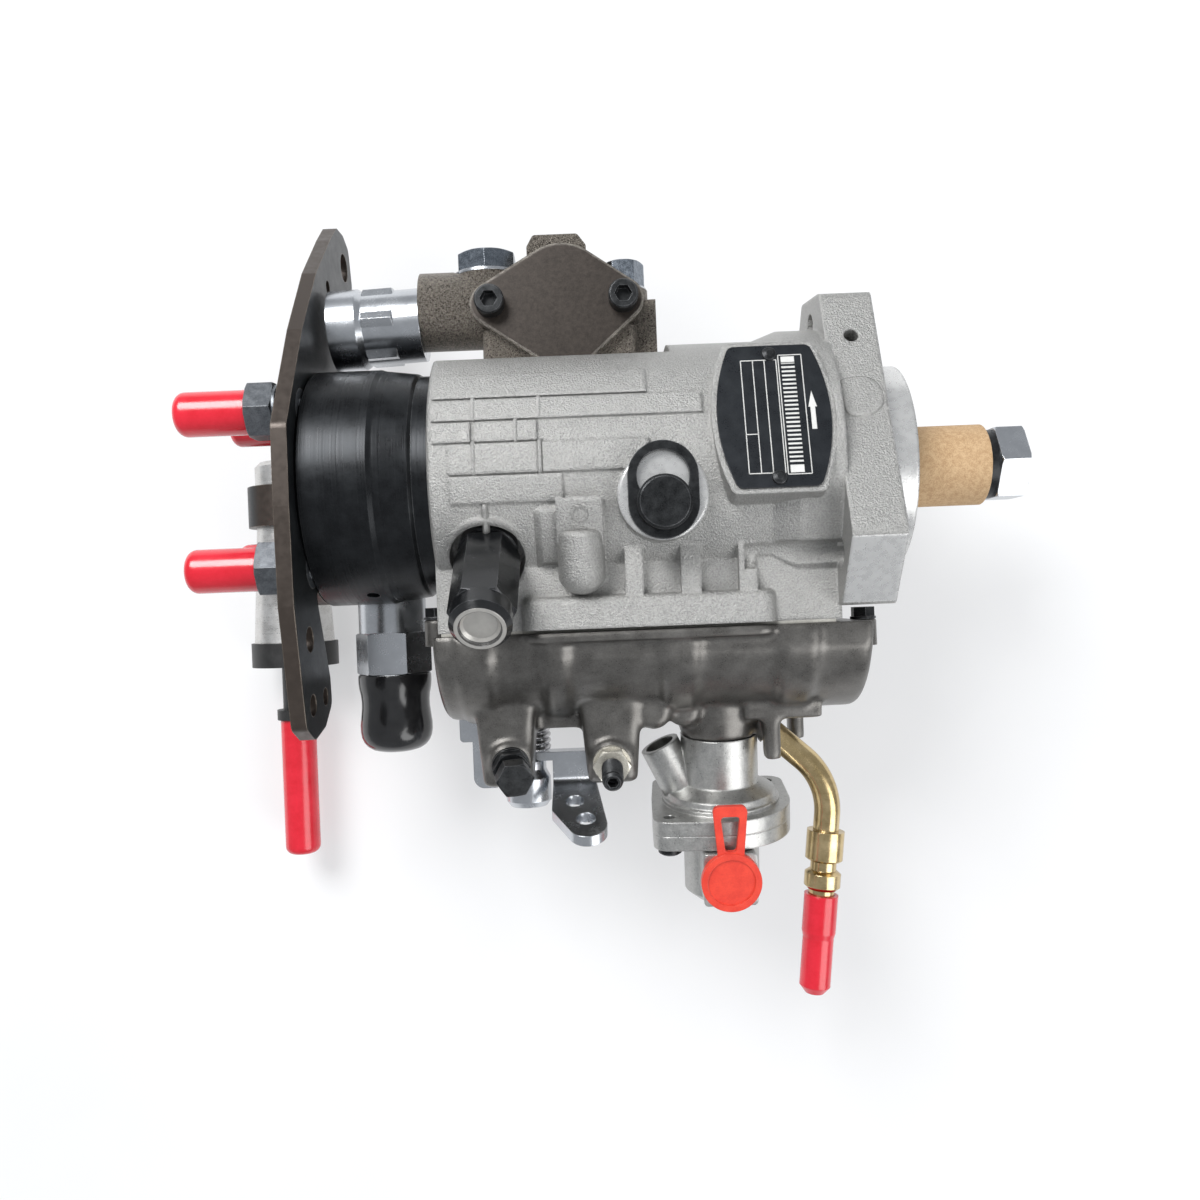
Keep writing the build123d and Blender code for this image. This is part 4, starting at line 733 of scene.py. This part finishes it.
def add_stack(shape, levels):
    """A closed skin over a stack of rings that have the same number of corners."""
    for low, high in zip(levels, levels[1:]):
        add_wall(shape, low, high)
    shape.faces.new(list(reversed(levels[0])))
    shape.faces.new(levels[-1])


def add_prism(shape, outline, z0, z1):
    """A closed prism over an outline, its points anticlockwise."""
    add_stack(shape, [[shape.verts.new((x, y, z)) for x, y in outline] for z in (z0, z1)])


def add_lathe(shape, profile, sides=48):
    """A closed turned form from (radius, height) pairs that run from axis to axis."""
    rings = [add_ring(shape, radius, height, sides) for radius, height in profile]
    for low, high in zip(rings, rings[1:]):
        add_wall(shape, low, high)


# Repeats
def row_tree(name, make_copy):
    """A tree that sets copies of one small form along Z, its sizes given by named inputs."""
    tree = bpy.data.node_groups.new(name, "GeometryNodeTree")
    face = tree.interface
    face.new_socket("Geometry", in_out="OUTPUT", socket_type="NodeSocketGeometry")
    face.new_socket("Count", in_out="INPUT", socket_type="NodeSocketInt")
    for label in ("Pitch", "Radius", "Thickness"):
        face.new_socket(label, in_out="INPUT", socket_type="NodeSocketFloat")
    face.new_socket("Material", in_out="INPUT", socket_type="NodeSocketMaterial")
    inputs = tree.nodes.new("NodeGroupInput")
    line = tree.nodes.new("GeometryNodeMeshLine")
    step = tree.nodes.new("ShaderNodeCombineXYZ")
    tree.links.new(inputs.outputs["Pitch"], step.inputs["Z"])
    tree.links.new(inputs.outputs["Count"], line.inputs["Count"])
    tree.links.new(step.outputs["Vector"], line.inputs["Offset"])
    copies = tree.nodes.new("GeometryNodeInstanceOnPoints")
    tree.links.new(line.outputs["Mesh"], copies.inputs["Points"])
    tree.links.new(make_copy(tree, inputs), copies.inputs["Instance"])
    real = tree.nodes.new("GeometryNodeRealizeInstances")
    tree.links.new(copies.outputs["Instances"], real.inputs["Geometry"])
    dress = tree.nodes.new("GeometryNodeSetMaterial")
    tree.links.new(real.outputs["Geometry"], dress.inputs["Geometry"])
    tree.links.new(inputs.outputs["Material"], dress.inputs["Material"])
    out = tree.nodes.new("NodeGroupOutput")
    tree.links.new(dress.outputs["Geometry"], out.inputs["Geometry"])
    return tree


THREAD_SIDES = 32
CREST_SIDES = 4


def thread_turn(tree, inputs):
    """One turn of a thread, a thin ring with a sharp crest."""
    path = tree.nodes.new("GeometryNodeCurvePrimitiveCircle")
    path.inputs["Resolution"].default_value = THREAD_SIDES
    tree.links.new(inputs.outputs["Radius"], path.inputs["Radius"])
    crest = tree.nodes.new("GeometryNodeCurvePrimitiveCircle")
    crest.inputs["Resolution"].default_value = CREST_SIDES
    tree.links.new(inputs.outputs["Thickness"], crest.inputs["Radius"])
    sweep = tree.nodes.new("GeometryNodeCurveToMesh")
    tree.links.new(path.outputs["Curve"], sweep.inputs["Curve"])
    tree.links.new(crest.outputs["Curve"], sweep.inputs["Profile Curve"])
    return sweep.outputs["Mesh"]


def printed_bar(tree, inputs):
    """One printed bar, as long as twice Radius and Thickness wide."""
    size = tree.nodes.new("ShaderNodeCombineXYZ")
    long = tree.nodes.new("ShaderNodeMath")
    long.operation = "MULTIPLY"
    long.inputs[1].default_value = 2.0
    tree.links.new(inputs.outputs["Radius"], long.inputs[0])
    tree.links.new(long.outputs["Value"], size.inputs["X"])
    size.inputs["Y"].default_value = PRINT_THICK
    tree.links.new(inputs.outputs["Thickness"], size.inputs["Z"])
    cube = tree.nodes.new("GeometryNodeMeshCube")
    tree.links.new(size.outputs["Vector"], cube.inputs["Size"])
    return cube.outputs["Mesh"]


def make_row(name, tree, place, material, **sizes):
    """A row of copies, turned into a plain mesh in its place. sizes are the tree's inputs."""
    seed = link(name + "_seed", bpy.data.meshes.new(name + "_seed"))
    row = seed.modifiers.new("row", "NODES")
    row.node_group = tree
    values = {**sizes, "Material": finishes[material]}
    for item in tree.interface.items_tree:
        if item.in_out == "INPUT":
            row[item.identifier] = values[item.name]
    graph = bpy.context.evaluated_depsgraph_get()
    mesh = bpy.data.meshes.new_from_object(seed.evaluated_get(graph), depsgraph=graph)
    seed.modifiers.remove(row)
    bpy.data.objects.remove(seed)
    shape = bmesh.new()
    shape.from_mesh(mesh)
    bmesh.ops.remove_doubles(shape, verts=shape.verts, dist=MERGE_DISTANCE / MM)
    bpy.data.meshes.remove(mesh)
    place_piece(name, shape, place, material)


# Printing on the data plate: blank ruled boxes, plain bars and an arrow
PLATE_TILT = math.radians(15.0)
PLATE_DISTANCE = 47.0
PLATE_X = -37.5
PLATE_THICK = 0.8
PRINT_THICK = 0.05
PRINT_LIFT = 0.01
RULE = 0.32
BOX_COLUMNS = (-9.0, -5.3, -1.7, 2.0)
BOX_LOW, BOX_HIGH = -19.0, 18.5
BOX_SPLIT = -6.2
PANEL_SIDES = (2.7, 9.9)
PANEL_LOW, PANEL_HIGH = -19.6, 20.0
END_BLOCKS = ((PANEL_LOW + 0.5, PANEL_LOW + 3.0), (PANEL_HIGH - 2.8, PANEL_HIGH - 0.5))
BAR_X = 5.6
BAR_HALF = 2.1
BAR_WIDE = 0.62
BAR_PITCH = 1.42
BAR_COUNT = 24
BARS_START = 4.2
BARS_LIFT = 0.035
ARROW_X = 12.0
ARROW_SHAFT_HALF, ARROW_HEAD_HALF = 0.75, 1.35
ARROW_TAIL, ARROW_NECK, ARROW_TIP = -5.2, 2.2, 7.6


def plate_frame(height):
    """The frame of the printing, at a height above the plate's underside."""
    normal = Vector((0.0, math.sin(PLATE_TILT), math.cos(PLATE_TILT)))
    return plane(Vector((PLATE_X, 0.0, 0.0)) + normal * (PLATE_DISTANCE + height), normal)


def upright_rule(shape, x, low, high):
    add_box(shape, (x - RULE / 2, low, 0), (x + RULE / 2, high, PRINT_THICK))


def level_rule(shape, y, left, right):
    add_box(shape, (left, y - RULE / 2, 0), (right, y + RULE / 2, PRINT_THICK))


def print_arrow(shape):
    shaft = [(ARROW_SHAFT_HALF, ARROW_TAIL), (ARROW_SHAFT_HALF, ARROW_NECK)]
    side = shaft + [(ARROW_HEAD_HALF, ARROW_NECK)]
    outline = side + [(0.0, ARROW_TIP)] + [(-x, y) for x, y in reversed(side)]
    add_prism(shape, [(ARROW_X + x, y) for x, y in outline], 0, PRINT_THICK)


def print_plate():
    """White rules, end blocks, bars and the arrow that shows the direction of turning."""
    shape = bmesh.new()
    for x in BOX_COLUMNS:
        upright_rule(shape, x, BOX_LOW, BOX_HIGH)
    for y in (BOX_LOW, BOX_HIGH):
        level_rule(shape, y, BOX_COLUMNS[0], BOX_COLUMNS[-1])
    level_rule(shape, BOX_SPLIT, BOX_COLUMNS[0], BOX_COLUMNS[1])
    for x in PANEL_SIDES:
        upright_rule(shape, x, PANEL_LOW, PANEL_HIGH)
    for y in (PANEL_LOW, PANEL_HIGH):
        level_rule(shape, y, *PANEL_SIDES)
    for low, high in END_BLOCKS:
        add_box(shape, (BAR_X - BAR_HALF, low, 0), (BAR_X + BAR_HALF, high, PRINT_THICK))
    print_arrow(shape)
    place_piece("plate_print", shape, plate_frame(PLATE_THICK + PRINT_LIFT), "print_white")
    start = Matrix.Translation((BAR_X, PANEL_LOW + BARS_START, 0))
    along_plate = Matrix.Rotation(math.radians(-90.0), 4, "X")
    bars = plate_frame(PLATE_THICK + BARS_LIFT) @ start @ along_plate
    sizes = {"Count": BAR_COUNT, "Pitch": BAR_PITCH, "Radius": BAR_HALF, "Thickness": BAR_WIDE}
    make_row("plate_bars", row_tree("printed_bars", printed_bar), bars, "print_white", **sizes)


# Threads that show on the two stop screws: a place and direction, the radius, where along the
# screw they start and how many turns show
STOP_SCREW_THREADS = {
    "idle_screw_thread": ((-125.0, -94.8, 20.0), (0.2, -0.28, 0.94), 3.0, 5.6, 4),
    "speed_screw_thread": ((-91.2, -95.5, 20.0), (0.0, -0.26, 0.96), 3.2, 5.8, 10),
}
THREAD_PITCH = 1.0
THREAD_DEEP = 0.28


def build_threads():
    tree = row_tree("thread_turns", thread_turn)
    for name, (origin, direction, radius, start, turns) in STOP_SCREW_THREADS.items():
        place = plane(origin, direction) @ Matrix.Translation((0.0, 0.0, start))
        sizes = {"Count": turns, "Pitch": THREAD_PITCH, "Radius": radius, "Thickness": THREAD_DEEP}
        make_row(name, tree, place, "black_steel", **sizes)


# Low forms of the body casting, which follow its barrel. Each rib is x0, x1, y0, y1.
BARREL_R = 45.0
BARREL_SUNK = 1.5
UPRIGHT_RIBS = (
    (-131.3, -129.1, 14.6, 22.8),
    (-110.8, -108.6, 14.6, 22.8),
    (-118.1, -115.9, 7.2, 15.2),
    (-131.3, -129.1, -2.6, 8.2),
    (-110.8, -108.6, -2.6, 8.2),
    (-128.6, -126.4, -20.0, -10.8),
)
RIB_RISE = 1.25
RIB_SLOPE = 0.7
SHOULDER = (-112.5, -102.5, -31.0, -11.2)
SHOULDER_RISE = 1.6
SHOULDER_SLOPE = 2.2
BAND_STEPS = 8


def add_band(shape, x0, x1, y0, y1, rise, slope):
    """A low closed pad that follows the barrel, its edges sloped."""
    rows = []
    for k in range(BAND_STEPS + 1):
        y = y0 + (y1 - y0) * k / BAND_STEPS
        angle = math.asin(y / BARREL_R)
        top = rise - slope if k in (0, BAND_STEPS) else rise
        left = [(x0, -BARREL_SUNK), (x0, 0.0), (x0 + slope, top)]
        right = [(x1 - slope, top), (x1, 0.0), (x1, -BARREL_SUNK)]
        row = []
        for x, lift in left + right:
            r = BARREL_R + lift
            row.append(shape.verts.new((x, r * math.sin(angle), r * math.cos(angle))))
        rows.append(row)
    add_stack(shape, rows)


def casting_ribs():
    shape = bmesh.new()
    for rib in UPRIGHT_RIBS:
        add_band(shape, *rib, RIB_RISE, RIB_SLOPE)
    add_band(shape, *SHOULDER, SHOULDER_RISE, SHOULDER_SLOPE)
    place_piece("casting_ribs", shape, Matrix.Scale(MM, 4), "cast_aluminium")


COLUMN_X = -98.3
COLUMN_R = 7.4
COLUMN_Z = 37.6
COLUMN_TOP_Y = -19.5
COLUMN_FOOT_Y = -33.5
COLUMN_DIRECTION = (0.0, 0.985, 0.17)
COLUMN_DOME = 0.9 * COLUMN_R
COLUMN_DOME_STEPS = 8
COLUMN_CUT = 1.0


def plug_column():
    """The round-fronted column of the casting, with a domed foot and a broken top edge."""
    shape = bmesh.new()
    profile = [(0, -COLUMN_DOME)]
    for k in range(1, COLUMN_DOME_STEPS + 1):
        angle = math.radians(90.0 * k / COLUMN_DOME_STEPS)
        profile.append((COLUMN_R * math.sin(angle), -COLUMN_DOME * math.cos(angle)))
    long = COLUMN_TOP_Y - COLUMN_FOOT_Y
    profile += [(COLUMN_R, long - COLUMN_CUT), (COLUMN_R - COLUMN_CUT, long), (0, long)]
    add_lathe(shape, profile)
    place = plane((COLUMN_X, COLUMN_FOOT_Y, COLUMN_Z), COLUMN_DIRECTION)
    place_piece("plug_column", shape, place, "cast_aluminium", smooth=True)


ISLAND_PLACE = (-8.0, 18.75, 37.05)
ISLAND_NORMAL = (0.0, 0.375, 0.927)
ISLAND_OUTLINE = (
    (-6.6, -4.0), (-4.6, -7.6), (1.0, -7.6), (5.6, -5.2), (7.2, -0.6),
    (6.0, 4.8), (2.2, 7.6), (-3.0, 7.2), (-6.8, 6.4),
)
ISLAND_SUNK = 0.8
ISLAND_RISE = 0.55
ISLAND_SLOPE = 0.9


def rounded(outline, times=2):
    """The outline with each corner cut off at a quarter of its sides, again and again."""
    for _ in range(times):
        cut = []
        for (x0, y0), (x1, y1) in zip(outline, outline[1:] + outline[:1]):
            cut.append((0.75 * x0 + 0.25 * x1, 0.75 * y0 + 0.25 * y1))
            cut.append((0.25 * x0 + 0.75 * x1, 0.25 * y0 + 0.75 * y1))
        outline = cut
    return outline


def flange_island():
    """The D-shaped raised island on the top facet of the flange's rim."""
    outline = rounded(ISLAND_OUTLINE)
    reach = max(math.hypot(x, y) for x, y in outline)
    shoulder = (0.8 * ISLAND_RISE, 0.6 * ISLAND_SLOPE)
    shape = bmesh.new()
    levels = []
    for z, inset in ((-ISLAND_SUNK, 0.0), (0.0, 0.0), shoulder, (ISLAND_RISE, ISLAND_SLOPE)):
        scale = 1.0 - inset / reach
        levels.append([shape.verts.new((x * scale, y * scale, z)) for x, y in outline])
    add_stack(shape, levels)
    place_piece("flange_island", shape, plane(ISLAND_PLACE, ISLAND_NORMAL), "cast_aluminium")


# Washers under the advance unit's plug and bolt, and the round mark over the column
WASHER_CUT = 0.12
WASHER_SIDES = 64
WASHER_HIGH = 1.2
WASHER_SUNK = 0.4
# Each washer's seat, its inner radius and its outer one
SEAT_WASHERS = {
    "plug_washer": ((-128.5, 74.6, -8.0), 7.1, 12.2),
    "bolt_washer": ((-80.3, 67.0, -6.0), 4.1, 8.2),
}
EJECTOR_PLACE = (-98.3, -15.3, 45.95)
EJECTOR_NORMAL = (0.0, -0.33, 0.944)
EJECTOR_RADII = (2.0, 2.7)
EJECTOR_HIGH = 0.45


def small_ring(name, place, inner, outer, high, material):
    """A flat washer with broken outer edges."""
    shape = bmesh.new()
    face_r = outer - WASHER_CUT
    side = [(face_r, 0.0), (outer, WASHER_CUT), (outer, high - WASHER_CUT), (face_r, high)]
    profile = [(inner, 0.0), *side, (inner, high)]
    rings = [add_ring(shape, radius, height, WASHER_SIDES) for radius, height in profile]
    for low, above in zip(rings, rings[1:] + rings[:1]):
        add_wall(shape, low, above)
    place_piece(name, shape, place, material)


def ejector_mark():
    """The round mark on the flat above the column."""
    place = plane(EJECTOR_PLACE, EJECTOR_NORMAL)
    small_ring("ejector_mark", place, *EJECTOR_RADII, EJECTOR_HIGH, "cast_aluminium")


def seat_washers():
    for name, ((x, y, z), inner, outer) in SEAT_WASHERS.items():
        place = plane((x, y - WASHER_SUNK, z), Y_AXIS)
        small_ring(name, place, inner, outer, WASHER_HIGH, "zinc_plate")


# The lugs and bolts at the two ends of the governor cover: a place and the lug's radius
COVER_BOLTS = {
    "cover_bolt_left": ((-148.6, -46.5, 12.0), 4.2),
    "cover_bolt_right": ((-3.4, -52.0, 9.0), 4.4),
}
LUG_LONG = 9.0
LUG_CUT = 0.6
BOLT_FLATS = 7.0
BOLT_HIGH = 4.0
BOLT_COLLAR_R = 0.62 * BOLT_FLATS
BOLT_COLLAR_HIGH = 0.8


def hexagon(across_flats):
    corner = across_flats / math.sqrt(3.0)
    angles = [math.radians(60.0 * k + 30.0) for k in range(6)]
    return [(corner * math.cos(a), corner * math.sin(a)) for a in angles]


def cover_bolts():
    """A lug on each end of the governor cover, with its bolt's collared head."""
    for name, (origin, lug_r) in COVER_BOLTS.items():
        place = plane(origin, Y_AXIS)
        lug = bmesh.new()
        side = [(lug_r, -LUG_LONG), (lug_r, -LUG_CUT), (lug_r - LUG_CUT, 0.0)]
        add_lathe(lug, [(0, -LUG_LONG), *side, (0, 0.0)])
        place_piece(name + "_lug", lug, place, "governor_aluminium")
        head = bmesh.new()
        add_prism(head, hexagon(BOLT_FLATS), BOLT_COLLAR_HIGH, BOLT_HIGH)
        rim = [(BOLT_COLLAR_R, 0.0), (BOLT_COLLAR_R, BOLT_COLLAR_HIGH)]
        add_lathe(head, [(0, 0.0), *rim, (0, BOLT_COLLAR_HIGH)])
        place_piece(name, head, place, "black_steel")


# The governor cover's casting, whose lobes run softly into each other
COVER_VOXEL = 1.0
COVER_SOFTNESS = 0.5
COVER_SMOOTHING = 10


def soft_governor_cover():
    shape = bmesh.new()
    shape.from_mesh(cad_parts["governor_cover"].data)
    bmesh.ops.remove_doubles(shape, verts=shape.verts, dist=MERGE_DISTANCE)
    rough = link("governor_cover_rough", mesh_of("governor_cover_rough", shape))
    skin = rough.modifiers.new("skin", "REMESH")
    skin.mode = "VOXEL"
    skin.voxel_size = COVER_VOXEL * MM
    soft = rough.modifiers.new("soft", "SMOOTH")
    soft.factor = COVER_SOFTNESS
    soft.iterations = COVER_SMOOTHING
    graph = bpy.context.evaluated_depsgraph_get()
    cast = bpy.data.meshes.new_from_object(rough.evaluated_get(graph), depsgraph=graph)
    bpy.data.objects.remove(rough)
    cast.name = "governor_cover_cast"
    piece = finish_piece(cast, "governor_aluminium", smooth=True)
    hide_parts("governor_cover")


# The inlet's cap, a soft moulded cup that bulges over the end of the fitting. Its profile runs
# from the bottom of its bore, out over the lip and up the outside, in radius and height.
INLET_CAP_MOUTH = (-170.0, -66.05, -20.0)
INLET_CAP_DIRECTION = (0.0, -1.0, 0.0)
INLET_CAP_SIDES = 72
INLET_CAP_PROFILE = (
    (0, 21.03), (10.68, 21.03), (10.68, 0.0), (12.5, 0.0), (13.1, 0.25), (13.3, 0.9),
    (13.3, 3.2), (13.1, 5.2), (12.6, 7.6), (12.35, 10.0), (12.4, 12.5), (12.75, 15.5),
    (13.1, 18.5), (13.1, 21.0), (12.75, 23.2), (12.0, 25.0), (10.8, 26.5), (9.0, 27.7),
    (6.6, 28.4), (3.2, 28.75), (2.4, 28.95), (0, 29.0),
)


def moulded_inlet_cap():
    shape = bmesh.new()
    add_lathe(shape, INLET_CAP_PROFILE, INLET_CAP_SIDES)
    place = plane(INLET_CAP_MOUTH, INLET_CAP_DIRECTION)
    cap = place_piece("inlet_cap_cup", shape, place, "black_vinyl", "inlet_cap", smooth=True)
    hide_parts("inlet_cap")


# Floor, lights and camera, in metres. The camera looks straight down on the pump, turned a
# little on its axis, as in the photograph.
FLOOR_HALF = 1.6
FLOOR_DROP = 0.2 * MM
FLOOR_CLOUD_MM = 90.0
FLOOR_TONES = ((0.84, 0.845, 0.855), (0.89, 0.895, 0.90))
FLOOR_ROUGH = 0.9
FLOOR_LIT = (0.985, 0.988, 0.995, 1.0)
FLOOR_GLOW = 0.45
LAMP_AIM = (-0.10, -0.03, 0.0)
# Each lamp's place, the width of its disk and its watts
LAMPS = {
    "key_lamp": ((-0.52, 0.60, 0.80), 0.6, 12.0),
    "fill_lamp": ((0.62, -0.55, 0.72), 0.9, 6.5),
}
WORLD_COLOUR = (0.93, 0.96, 1.0, 1.0)
WORLD_STRENGTH = 0.46
CAMERA_PLACE = (-0.093, -0.0421, 0.360)
CAMERA_TURN = math.radians(-2.3)
CAMERA_LENS = 30.78
CAMERA_SENSOR = 36.0


def floor_sheet():
    """White card that keeps the pump's shadow and looks white to the camera and in metal."""
    material = bpy.data.materials.new("floor_sheet")
    material.use_nodes = True
    tree = material.node_tree
    shader = tree.nodes["Principled BSDF"]
    shader.inputs["Roughness"].default_value = FLOOR_ROUGH
    tone = spread(tree, grain(tree, FLOOR_CLOUD_MM), *RELIEF_SPREAD)
    tree.links.new(colours(tree, tone, *FLOOR_TONES), shader.inputs["Base Color"])
    lit = add(tree, "Emission", {"Color": FLOOR_LIT, "Strength": 1.0}).outputs["Emission"]
    path = add(tree, "LightPath")
    seen = maths(tree, "MAXIMUM", path.outputs["Is Camera Ray"], path.outputs["Is Glossy Ray"])
    glow = product(tree, seen, FLOOR_GLOW)
    mixed = add(tree, "MixShader", {0: glow, 1: shader.outputs[0], 2: lit}).outputs[0]
    tree.links.new(mixed, tree.nodes["Material Output"].inputs["Surface"])
    return material


def build_floor():
    half = FLOOR_HALF
    height = cad_box[0][2] - FLOOR_DROP
    square = ((-half, -half), (half, -half), (half, half), (-half, half))
    corners = [(x, y, height) for x, y in square]
    mesh = bpy.data.meshes.new("floor")
    mesh.from_pydata(corners, [], [(0, 1, 2, 3)])
    mesh.materials.append(floor_sheet())
    link("floor", mesh)


def build_lights():
    for name, (place, wide, watts) in LAMPS.items():
        lamp = bpy.data.lights.new(name, "AREA")
        lamp.shape = "DISK"
        lamp.size = wide
        lamp.energy = watts
        holder = link(name, lamp)
        holder.location = place
        aim = Vector(LAMP_AIM) - Vector(place)
        holder.rotation_euler = aim.to_track_quat("-Z", "Y").to_euler()
    world = bpy.data.worlds.new("studio")
    world.use_nodes = True
    back = world.node_tree.nodes["Background"]
    back.inputs["Color"].default_value = WORLD_COLOUR
    back.inputs["Strength"].default_value = WORLD_STRENGTH
    bpy.context.scene.world = world


def build_camera():
    lens = bpy.data.cameras.new("camera")
    lens.sensor_width = CAMERA_SENSOR
    lens.sensor_fit = "HORIZONTAL"
    lens.lens = CAMERA_LENS
    camera = link("camera", lens)
    camera.location = CAMERA_PLACE
    camera.rotation_euler = (0.0, 0.0, CAMERA_TURN)
    bpy.context.scene.camera = camera


finishes = dress_frame()
print_plate()
build_threads()
casting_ribs()
plug_column()
ejector_mark()
flange_island()
soft_governor_cover()
moulded_inlet_cap()
cover_bolts()
seat_washers()
build_floor()
build_lights()
build_camera()
bpy.context.scene.view_settings.view_transform = "Standard"
